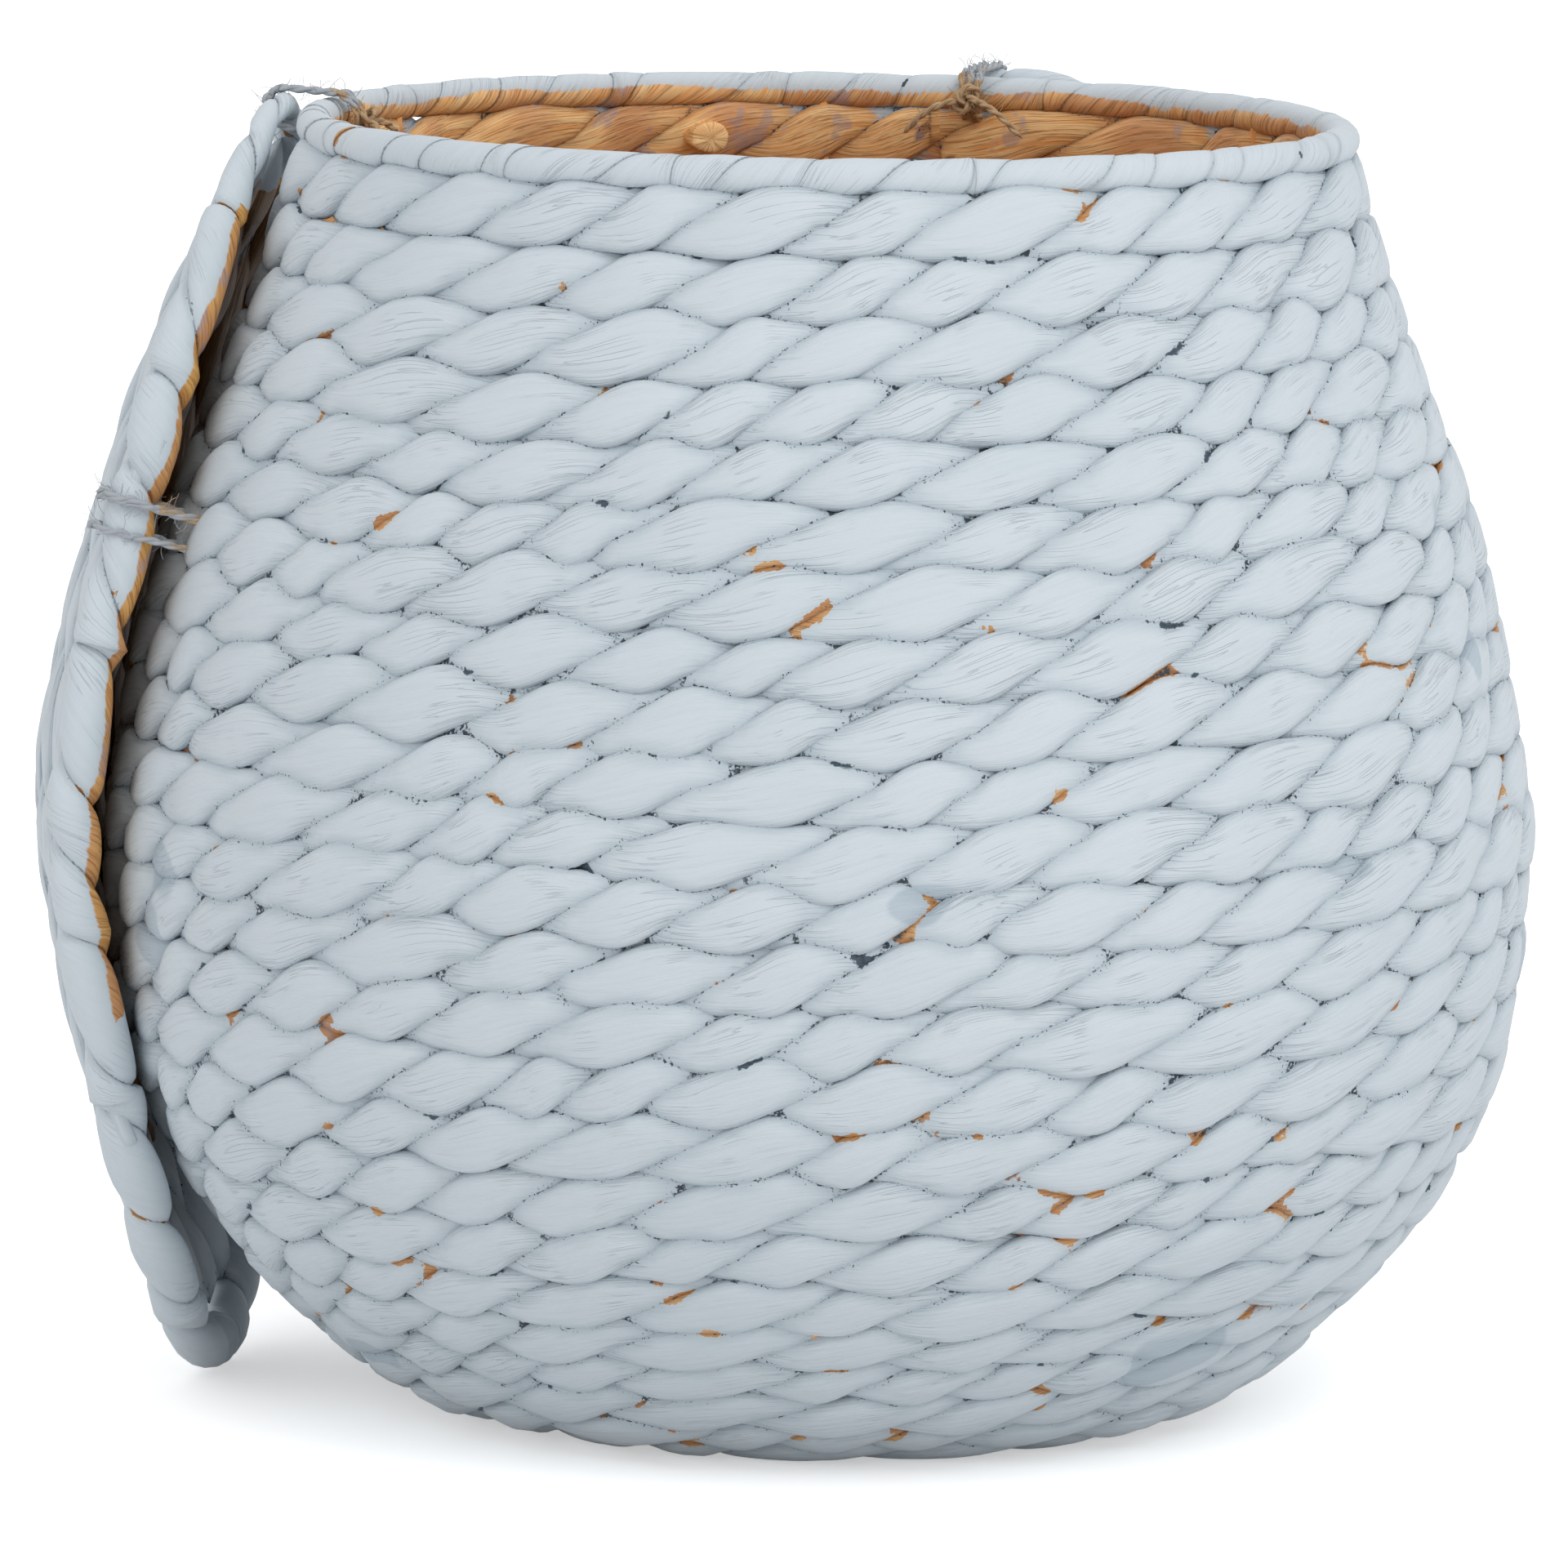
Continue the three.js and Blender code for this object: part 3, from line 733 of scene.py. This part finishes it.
def make_wound_tree():
    """A strand wound round a closed guide line, each turn lapping the one before.
    The guide's lay holds the share of the full girth there."""
    tree, given, result = new_tree("wound_strand", "GeometryNodeTree", {
        "Guide": "Geometry", "Turns": 0, "Core": 0.0, "Swell": 0.0, "Lap": 0.0, "Fullness": 0.0,
        "Unevenness": 0.0, "Pitch": 0.0, "Paint Turn": 0.0, "Stations": 0, "Sides": 0, "Seed": 0.0,
        "Creases": 0.0, "Material": "Material",
    }, {"Strand": "Geometry"})
    curve = flow("GeometryNodeMeshToCurve", {"Mesh": given["Guide"]})
    stations = given["Stations"]
    columns = given["Turns"] * stations
    grid, along, around = unit_grid(columns + 1.0, given["Sides"])
    column = calc("ROUND", along * columns)
    turn = calc("FLOOR", (column + 0.5) / stations)
    within = (column - turn * stations) / (stations - 1.0)
    strip = turn + around
    raw = (strip + within * lap_end) / given["Turns"]

    def wave(count, shift):
        return calc("SINE", raw * (2 * math.pi * count) + (given["Seed"] + shift))

    drift = (wave(*drift_waves[0]) + wave(*drift_waves[1])) * given["Unevenness"]
    share = calc("FRACT", raw + drift / given["Turns"])
    (out, place), (rise, _), (lay, _) = (sampled(curve, share, name) for name in ("out", "rise", "lay"))
    angle = around * (2 * math.pi)
    middle = within * 2.0 - 1.0
    rounding = 1.0 - calc("POWER", abs(middle), lap_roundness)
    plump = (wave(*plump_waves[0]) + wave(*plump_waves[1])) * given["Fullness"]
    radius = (given["Core"] + given["Swell"] * rounding + given["Lap"] * within + plump) * split(lay)[0]
    section = summed(scaled(out, calc("COSINE", angle)), scaled(rise, calc("SINE", angle)))
    side = calc("MINIMUM", within, 1.0 - within)
    fibre = vector(middle, given["Seed"] * seed_in_fibre, strip)
    grid = marked(grid, "fibre", fibre, "FLOAT_VECTOR", "CORNER")
    grid = marked(grid, "facing", calc("COSINE", angle - given["Paint Turn"]))
    grid = marked(marked(grid, "strand", 0.0), "seam", side * given["Pitch"])
    moved = summed(place, scaled(section, radius))
    tube = flow("GeometryNodeSetPosition", {"Geometry": grid, "Position": moved})
    link(finished_surface(tube, given["Material"], given["Creases"]), result["Strand"])
    return tree


wound_tree = make_wound_tree()
rim_material = strand_material("rim_strand", {
    "Paint Edge": -0.62, "Paint Fray": 0.4, "Missed Paint": 0.32, "Cracks": 0.35, "Seam Shade": 0.10,
})
rim_points = []
for i in range(rim_steps + 1):
    radial = radial_at(2 * math.pi * i / rim_steps)
    rim_points.append((spot(radial, *rim_section), radial, upright, (1, 0, 0)))
rim_piece = made_by(wound_tree, "rim_wrap_strand", guide_line("rim_guide", rim_points), {
    "Turns": rim_turns, "Core": 0.00455, "Swell": 0.00035, "Lap": 0.00030, "Fullness": 0.00012,
    "Unevenness": 0.22, "Pitch": 2 * math.pi * rim_section[0] / rim_turns,
    "Paint Turn": math.radians(40), "Stations": 9, "Sides": 21, "Seed": 2.0, "Creases": 0.0005,
    "Material": rim_material,
})
seat(rim_piece, "basket", "rim_wrap")
mark_seams(wall_pieces + [rim_piece])


# Strand end: the running strand is cut off at the top course, and its end stands out on the inside of the
# back, just under the rim. It is part of the top course, bare, and frayed a little where it was cut.
end_angle = math.radians(74.5)
end_height = 0.3440
end_seat_radius = 0.1405
end_length = 0.0100
end_width = 0.0054
end_thickness = 0.0039
end_rounding = 0.0014
end_steps = 16

end_radial = radial_at(end_angle)
end_along = Vector((-end_radial.y, end_radial.x, 0))
end_points = []
for k in range(end_steps + 1):
    share = k / end_steps
    fullness = end_fullness((1 - share) * end_length, end_rounding)
    place = spot(end_radial, end_seat_radius - end_length * share, end_height)
    end_points.append((place, upright, end_along, (0.5 * math.pi * share, fullness, 0.0)))
end_piece = made_by(twist_tree, "strand_end", guide_line("strand_end_guide", end_points), {
    "Rise": 0.0004, "Reach": 0.0004, **even(end_width, "Height"), **even(end_thickness, "Thickness"),
    "Squareness": 0.9, "Creases": 0.0018, "Stations": 41, "Sides": 33, "Seed": 3.3,
    "Material": strand_material("strand_end", {
        "Paint Edge": 3.0, "Cracks": 0.0, "Missed Paint": 0.0, "Mid Fibre": (0.950, 0.600, 0.280, 1),
        "Rosy Fibre": amber_mid,
    }),
})
end_seam = end_piece.data.attributes.new("seam", "FLOAT", "POINT")
end_seam.data.foreach_set("value", [seam_reach] * len(end_piece.data.vertices))
seat(joined([wall_pieces[-1], end_piece]), "basket", wall_nodes[-1])


# Flaps: two stiff ovals bowed to the belly of the basket. Each has a wire hoop wound with wide strand as a
# border, and ten upright twisted columns between. They are painted outside, and bare inside apart from
# spray at the foot.
flap_sides = (1, "left_flap"), (-1, "right_flap")
flap_spread = math.radians(52)
flap_crown_radius = 0.2155
flap_crown_height = 0.167968
flap_bow_rise = 0.189132
flap_bow_depth = 0.05752
flap_bow_exponent = 1.55
flap_centre_height = 0.1826
flap_half_height = 0.1745
flap_half_width = 0.0945
flap_fullness = 0.06
column_count = 10
panel_width = 0.172
column_unevenness = 0.25
column_rise = 0.006
column_seed = 300
border_steps = 160
end_taper = 0.008
flap_lean_start = 0.285
flap_lean_span = 0.0721
flap_lean = 0.0010
flap_lean_exponent = 2.1
border_slimming = 0.50
flap_rise = 0.0034
column_slimming = 0.45


def up_top(height):
    """How far up the part that leans in a height is, from 0."""
    return max(0.0, (height - flap_lean_start) / flap_lean_span)


def flap_spot(side, breadth, height):
    """A flap's place, outward and upward directions at a breadth from its middle line and a height."""
    climb = (height - flap_crown_height) / flap_bow_rise
    top = up_top(height)
    radius = flap_crown_radius - flap_bow_depth * abs(climb) ** flap_bow_exponent
    radius -= flap_lean * top ** flap_lean_exponent
    steepness = flap_bow_exponent * flap_bow_depth / flap_bow_rise
    lean = math.copysign(steepness * abs(climb) ** (flap_bow_exponent - 1), climb)
    lean += flap_lean_exponent * flap_lean / flap_lean_span * top ** (flap_lean_exponent - 1)
    angle = math.radians(90) + side * (flap_spread + breadth / radius)
    radial = radial_at(angle)
    up, out = spot(radial, -lean, 1).normalized(), spot(radial, 1, lean).normalized()
    return spot(radial, radius, height), out, up


def border_guide(side):
    """The closed centre line of a flap's border."""
    turns = [2 * math.pi * i / border_steps for i in range(border_steps + 1)]
    spots = [
        flap_spot(
            side,
            flap_half_width * (1 - flap_fullness * math.cos(turn)) * math.sin(turn),
            flap_centre_height + (flap_half_height + flap_rise * (math.cos(turn) > 0)) * math.cos(turn),
        )
        for turn in turns
    ]
    points = []
    for i in range(border_steps + 1):
        place, out, _ = spots[i]
        along = (spots[(i + 1) % border_steps][0] - spots[(i - 1) % border_steps][0]).normalized()
        out = (out - along * out.dot(along)).normalized()
        girth = 1 - border_slimming * min(1.0, up_top(place.z)) ** 2
        points.append((place, out, out.cross(along), (girth, 0, 0)))
    return guide_line(f"border_guide_{side}", points)


def column_guide(side, breadth, low, high, seed):
    """The centre line of an upright column, with lobes that die away at its two ends."""
    length = high - low
    count = max(4, round(length / lobe_pitch))
    points = []
    for share, turn, full, push in lay_values(count, False, seed, column_unevenness):
        place, out, up = flap_spot(side, breadth, low + length * share)
        taper = end_fullness(min(share, 1 - share) * length, end_taper)
        taper *= 1 - column_slimming * min(1.0, up_top(place.z)) ** 2
        points.append((place, out, out.cross(up), (turn, full * taper, push)))
    return guide_line(f"column_guide_{side}_{seed}", points), count


# The flaps' bare fibre colours are darker copies of the amber, as painted shade on the inner side that
# faces the wall.
flap_strand_shaded = strand_material("flap_strand_shaded", {
    "Paint Edge": -0.25, "Missed Paint": 0.30, "Painted Below": 0.175, "Painted Above": 0.345,
    "Pale Fibre": (0.420, 0.230, 0.090, 1), "Mid Fibre": (0.250, 0.115, 0.040, 1),
    "Rosy Fibre": (0.200, 0.090, 0.034, 1), "Deep Fibre": (0.080, 0.032, 0.012, 1),
})
border_strand = strand_material("border_strand", {
    "Paint Edge": -0.10, "Paint Fray": 0.35, "Missed Paint": 0.34, "Painted Below": 0.205,
    "Painted Above": 0.348, "Cracks": 0.5, "Seam Shade": 0.16, "Pale Fibre": (0.760, 0.430, 0.130, 1),
    "Mid Fibre": (0.540, 0.255, 0.065, 1),
})

for side, flap in flap_sides:
    column_pieces = []
    for k in range(column_count):
        node = f"{flap}_column_{k + 1:02d}"
        box_low, box_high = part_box(node)
        breadth = panel_width * ((k + 0.5) / column_count - 0.5)
        column_top = box_high[2] + column_rise * up_top(box_high[2]) ** 2
        run = column_guide(side, breadth, box_low[2], column_top, column_seed + k + 40 * side)
        piece = twisted(f"{node}_strand", run, {
            "Reach": 0.0017, **even(0.0031, "Thickness"), "Sides": 13, "Seed": 11.9 * k + 3 * side,
            "Material": flap_strand_shaded,
        })
        seat(piece, flap, node)
        column_pieces.append(piece)
    mark_seams(column_pieces)

    border = made_by(wound_tree, f"{flap}_border_strand", border_guide(side), {
        "Turns": 33, "Core": 0.0045, "Swell": 0.0030, "Lap": 0.0004, "Fullness": 0.0002,
        "Unevenness": 0.15, "Pitch": 0.027, "Paint Turn": math.radians(20), "Stations": 10, "Sides": 17,
        "Seed": 4.0 + side, "Creases": 0.0009, "Material": border_strand,
    })
    seat(border, flap, f"{flap}_border_wrap")


# Wire: the frame that the weave is made on is welded from round iron wire, and each flap has a hoop of the
# same. All of it is wrapped or woven in, and the ribs are bound in a thin strand from the base up. Drawn
# iron, with rust.
wire_colour = (0.060, 0.060, 0.064, 1)
rust_colour = (0.150, 0.062, 0.028, 1)
rust_spread, rust_band = 90.0, (0.45, 0.62)
wire_metal, rust_dullness = 0.9, 0.8
wire_roughness, rust_roughness = 0.42, 0.4
wire_bump, wire_bump_depth = 0.4, 0.0002
wrapped_height = 0.030

wire_material, wire_tree, wire_shader = new_material("frame_wire", {})
wire_place = read(wire_tree, "ShaderNodeTexCoord", "Object")
wire_grain = cloud(wire_place, rust_spread, 4.0)
rust = ramp(wire_grain, rust_band)
wrapped = calc("GREATER_THAN", split(wire_place)[2], wrapped_height)
wire_tint = blended(wrapped, blended(rust, wire_colour, rust_colour), amber_mid)
link(wire_tint, wire_shader["Base Color"])
link((wire_metal - rust * rust_dullness) * (1.0 - wrapped), wire_shader["Metallic"])
link(rust * rust_roughness + wire_roughness, wire_shader["Roughness"])
bump(wire_shader, wire_grain, wire_bump, wire_bump_depth)
wire_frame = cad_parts["wire_frame"]
wire_frame.data.materials.clear()
wire_frame.data.materials.append(wire_material)
for side, flap in flap_sides:
    hoop = made_by(wound_tree, f"{flap}_hoop_wire", border_guide(side), {
        "Turns": 40, "Core": 0.0020, "Stations": 4, "Sides": 13, "Material": wire_material,
    })
    seat(hoop, flap, f"{flap}_hoop")


# Ties: two-ply jute twine. One tie of each flap goes over the rim, the other through the wall at the flap's
# side. Each is wound three times and knotted inside the basket, with frayed ends. Spray has caught what
# faces outwards.
twine_pitch, stations_per_ply = 0.0052, 6
ply_rise = 0.00048
ply_radius = 0.00066
twine_end_taper = 0.002
loop_steps = 14
loop_wobble = 0.07
loop_play = 0.0006
inner_loop = 0.0068
knot_radius = 0.0040
knot_steps = 36
knot_waist, knot_swing, knot_depth, knot_roundness = 0.62, 0.42, 0.55, 0.6
tail_offset = 0.002
tie_seed, hair_seed = 70, 20
tail_route = (0, 0, 0), (0.004, 0.004, 0), (0.006, 0.010, 0.003), (0.005, 0.016, 0.009)
hair_density = 80000.0
hair_radius = 0.00010
hair_arc = (0, 0, 0), (0.15, 0.0, 0.6), (0.6, 0.25, 0.85)
shortest_hair = 0.35
jute_pale = (0.620, 0.450, 0.270, 1)
jute_deep = (0.270, 0.160, 0.080, 1)
jute_cells, jute_band = (6.0, 2.0), (0.35, 0.62)
twine_bump, twine_bump_depth, twine_roughness, twine_gloss = 0.6, 0.0002, 0.85, 0.2
spray_colour = (0.40, 0.46, 0.52, 1)
spray_wall = (0.245, 0.357), (0.184, 0.1365)
spray_spots, spray_raggedness = 160.0, 0.03
spray_edge, spray_share = (-0.001, 0.002), 0.85
clean_height, clean_radius, clean_share = (0.2590, 0.0045), 0.1935, 0.8


def make_twine_material():
    """Jute, with spray on what stands out of the basket. The inner part of the upper round stayed clean."""
    plain = {"Roughness": twine_roughness, "Specular IOR Level": twine_gloss}
    material, tree, shader = new_material("jute_twine", plain)
    place = read(tree, "ShaderNodeTexCoord", "Object")
    x, y, along = split(read(tree, "ShaderNodeAttribute", "Vector", attribute_name="fibre"))
    thread = cloud(vector(x * jute_cells[0], y * jute_cells[0], along * jute_cells[1]), 1.0, 3.0)
    flat = flow("ShaderNodeVectorMath", {0: place, 1: (1.0, 1.0, 0.0)}, operation="MULTIPLY")
    radius = flow("ShaderNodeVectorMath", {0: flat}, "Value", operation="LENGTH")
    height = split(place)[2]
    spots = (cloud(place, spray_spots) - 0.5) * spray_raggedness
    sprayed = ramp(radius - ramp(height, *spray_wall) + spots, spray_edge, (0.0, spray_share))
    clean = calc("COMPARE", height, *clean_height) * calc("LESS_THAN", radius, clean_radius)
    sprayed = sprayed * (1.0 - clean * clean_share)
    jute = blended(ramp(thread, jute_band), jute_deep, jute_pale)
    link(blended(sprayed, jute, spray_colour), shader["Base Color"])
    bump(shader, thread, twine_bump, twine_bump_depth)
    return material


def make_fray_tree():
    """Loose hairs that stand out of a twine, short and long, each a bent sliver."""
    tree, given, result = new_tree("frayed_hairs", "GeometryNodeTree", {
        "Twine": "Geometry", "Density": 0.0, "Length": 0.0, "Radius": 0.0, "Seed": 0,
        "Material": "Material",
    }, {"Hairs": "Geometry"})

    def dice(low, high, seed):
        node = put(tree, "FunctionNodeRandomValue", {"Seed": seed}, data_type="FLOAT")
        link(low, enabled(node, "Min"))
        link(high, enabled(node, "Max"))
        return outputs(node)["Value"]

    inputs = {"Mesh": given["Twine"], "Density": given["Density"], "Seed": given["Seed"]}
    spread = outputs(put(tree, "GeometryNodeDistributePointsOnFaces", inputs))
    inputs = dict(zip(("Start", "Middle", "End"), hair_arc), Resolution=4)
    arc = read(tree, "GeometryNodeCurveQuadraticBezier", 0, inputs)
    inputs = {"Resolution": 3, "Radius": 1.0}
    profile = read(tree, "GeometryNodeCurvePrimitiveCircle", 0, inputs, mode="RADIUS")
    thickness = given["Radius"] / given["Length"]
    size = vector(thickness, thickness, thickness)
    ring = flow("GeometryNodeTransform", {"Geometry": profile, "Scale": size})
    hair = flow("GeometryNodeCurveToMesh", {"Curve": arc, "Profile Curve": ring, "Fill Caps": True})
    turned = flow("FunctionNodeAlignRotationToVector", {"Vector": spread["Normal"]}, axis="Z")
    inputs = {"Axis": (0, 0, 1), "Angle": dice(0.0, 2 * math.pi, given["Seed"])}
    roll = flow("FunctionNodeAxisAngleToRotation", inputs)
    inputs = {"Rotation": turned, "Rotate By": roll}
    length = dice(shortest_hair, 1.0, given["Seed"] + 7.0) * given["Length"]
    placed = flow("GeometryNodeInstanceOnPoints", {
        "Points": spread["Points"], "Instance": hair,
        "Rotation": flow("FunctionNodeRotateRotation", inputs, rotation_space="LOCAL"),
        "Scale": vector(length, length, length),
    })
    link(given_material(gathered(placed, given["Twine"]), given["Material"]), result["Hairs"])
    return tree


def point_of(path, k, closed):
    """A point of a path by its number, which may lie past an end."""
    last = len(path) - 1
    if 0 <= k <= last:
        return path[k]
    return path[k % last] if closed else path[min(max(k, 0), last)]


def twine_guide(name, path, normals, closed):
    """A guide for two-ply twine along a path, with its lay turning evenly."""
    length = sum(math.dist(path[i], path[i + 1]) for i in range(len(path) - 1))
    count = max(5, round(length / twine_pitch))
    count += 1 - count % 2
    points, run = [], 0.0
    for i, place in enumerate(path):
        along = (point_of(path, i + 1, closed) - point_of(path, i - 1, closed)).normalized()
        if i:
            run += math.dist(path[i - 1], place)
        out = (normals[i] - along * normals[i].dot(along)).normalized()
        taper = 1.0 if closed else end_fullness(min(run, length - run), twine_end_taper)
        points.append((place, out, out.cross(along), (run / length * count * math.pi, taper, 0.0)))
    return guide_line(name, points), count


def belt_path(outer, outer_radius, inner, inner_radius, across, shift, chance):
    """A loop round two circles, shifted sideways."""
    toward = (inner - outer).normalized()
    across = (across - toward * across.dot(toward)).normalized()
    sideways = toward.cross(across)
    lean = math.acos((outer_radius - inner_radius) / math.dist(outer, inner))
    path, normals = [], []
    for centre, radius, first, last in (
        (outer, outer_radius, lean, 2 * math.pi - lean),
        (inner, inner_radius, -lean, lean),
    ):
        for i in range(loop_steps + 1):
            turn = first + (last - first) * i / loop_steps
            normal = toward * math.cos(turn) + across * math.sin(turn)
            push = 1 + loop_wobble * chance.uniform(-1, 1)
            side = shift + loop_play * chance.uniform(-1, 1)
            path.append(centre + normal * radius * push + sideways * side)
            normals.append(normal)
    return path + path[:1], normals + normals[:1]


def smooth_path(path, normals, closed, times=4):
    """The path cut into shorter steps along a smooth curve."""
    last = len(path) - 1
    points, directions = [], []
    for i in range(last):
        p0, p1, p2, p3 = (point_of(path, i + step, closed) for step in (-1, 0, 1, 2))
        for k in range(times):
            t = k / times
            points.append(
                0.5 * (2 * p1 + (p2 - p0) * t + (2 * p0 - 5 * p1 + 4 * p2 - p3) * t ** 2
                       + (3 * p1 - p0 - 3 * p2 + p3) * t ** 3)
            )
            directions.append(normals[i].lerp(normals[i + 1], t))
    return points + [path[last]], directions + [normals[last]]


def twine(name, path, normals, closed, seed):
    path, normals = smooth_path(path, normals, closed)
    guide, lobes = twine_guide(f"{name}_guide", path, normals, closed)
    return made_by(twist_tree, name, guide, {
        "Rise": ply_rise, "Reach": ply_rise, **even(ply_radius, "Height", "Thickness"),
        "Squareness": 1.0, "Creases": 0.0002, "Stations": lobes * stations_per_ply + 1, "Sides": 9,
        "Seed": seed, "Material": twine_material,
    })


def knot_path(centre, axis, radius):
    """An overhand knot pulled tight, as a closed threefold loop round an axis."""
    side = axis.orthogonal().normalized()
    other = axis.cross(side)
    path, normals = [], []
    for i in range(knot_steps + 1):
        t = 2 * math.pi * i / knot_steps
        wide = knot_waist + knot_swing * math.cos(3 * t)
        normal = side * math.cos(2 * t) + other * math.sin(2 * t)
        path.append(centre + normal * (radius * wide) + axis * radius * knot_depth * math.sin(3 * t))
        normals.append((normal * wide + axis * math.sin(3 * t) * knot_roundness).normalized())
    return path, normals


def frayed(name, parts, hair_length, seed):
    """The parts of a tie joined, with hairs standing out of them, as one piece."""
    return made_by(fray_tree, name, joined(parts), {
        "Density": hair_density, "Length": hair_length, "Radius": hair_radius, "Seed": seed,
        "Material": twine_material,
    })


twine_material = make_twine_material()
fray_tree = make_fray_tree()
tie_sizes = (
    ("rim_tie", (-0.116400, 0.103250, 0.359450), (-0.105441, 0.093782, 0.357250),
     (0.1004, -0.0893, -0.9909), (-0.0034, -0.0009, 0.0016), 0.0053, 0.0045),
    ("side_tie", (-0.192904, 0.047235, 0.253214), (-0.171586, 0.042015, 0.246973),
     (0.238, 0.971, 0.0), (-0.0050, 0.0034, 0.0046), 0.0098, 0.0050),
)
for side, flap in ((1, "left"), (-1, "right")):
    for number, (title, outer, inner, across, rounds, outer_loop, hair_length) in enumerate(tie_sizes):
        mirror = Vector((side, 1, 1))
        outer, inner, across = Vector(outer) * mirror, Vector(inner) * mirror, Vector(across) * mirror
        chance = random.Random(tie_seed + number + 5 * side)
        toward = (inner - outer).normalized()
        parts = []
        for i, shift in enumerate(rounds):
            path, normals = belt_path(outer, outer_loop, inner, inner_loop, across, shift, chance)
            parts.append(twine(f"{flap}_{title}_round_{i}", path, normals, True, 3.0 * i))
        knot_centre = inner + toward * (inner_loop + tail_offset)
        path, normals = knot_path(knot_centre, toward, knot_radius)
        parts.append(twine(f"{flap}_{title}_knot", path, normals, True, 9.0))
        sideways = toward.cross(across).normalized()
        for i, lean in enumerate((-1, 1)):
            start = knot_centre + sideways * lean * tail_offset
            tail = [
                start + toward * inward + sideways * lean * aside - upright * drop
                for inward, aside, drop in tail_route
            ]
            parts.append(twine(f"{flap}_{title}_tail_{i}", tail, [toward] * len(tail), False, 12.0 + i))
        piece = frayed(f"{flap}_{title}_twine", parts, hair_length, hair_seed + number + 10 * side)
        seat(piece, "basket", f"{flap}_{title}")


# Floor and light: a plain pale floor that reads white to the camera and keeps the basket's shadow, and a
# soft, even studio light. They aren't part of the object.
floor_half = 20.0
floor_lift = 0.46
world_strength = 0.88
key_place = away * 1.6 + rightward * 0.9 + upright * 1.9
key_size = 1.4
key_power = 15
light_aim = upright * 0.18
floor_mesh = bpy.data.meshes.new("floor")
floor_corners = [(floor_half * x, floor_half * y, 0) for x, y in ((-1, -1), (1, -1), (1, 1), (-1, 1))]
floor_mesh.from_pydata(floor_corners, [], [(0, 1, 2, 3)])
floor = new_object("floor", floor_mesh)
floor_material, floor_tree, floor_shader = new_material("floor", {
    "Base Color": (0.9, 0.9, 0.9, 1), "Roughness": 0.9, "Specular IOR Level": 0.0,
    "Emission Color": (1, 1, 1, 1),
})
rays = outputs(put(floor_tree, "ShaderNodeLightPath"))
seen = calc("MAXIMUM", rays["Is Camera Ray"], rays["Is Glossy Ray"])
seen = calc("MAXIMUM", seen, rays["Is Transmission Ray"])
link(seen * floor_lift, floor_shader["Emission Strength"])
floor_mesh.materials.append(floor_material)

world = bpy.data.worlds.new("studio")
world.use_nodes = True
bpy.context.scene.world = world
background = world.node_tree.nodes["Background"]
background.inputs["Color"].default_value = (1, 1, 1, 1)
background.inputs["Strength"].default_value = world_strength


key_data = bpy.data.lights.new("key_light", "AREA")
key_data.size = key_size
key_data.energy = key_power
look(new_object("key_light", key_data), key_place, light_aim)
bpy.context.scene.view_settings.view_transform = "Standard"
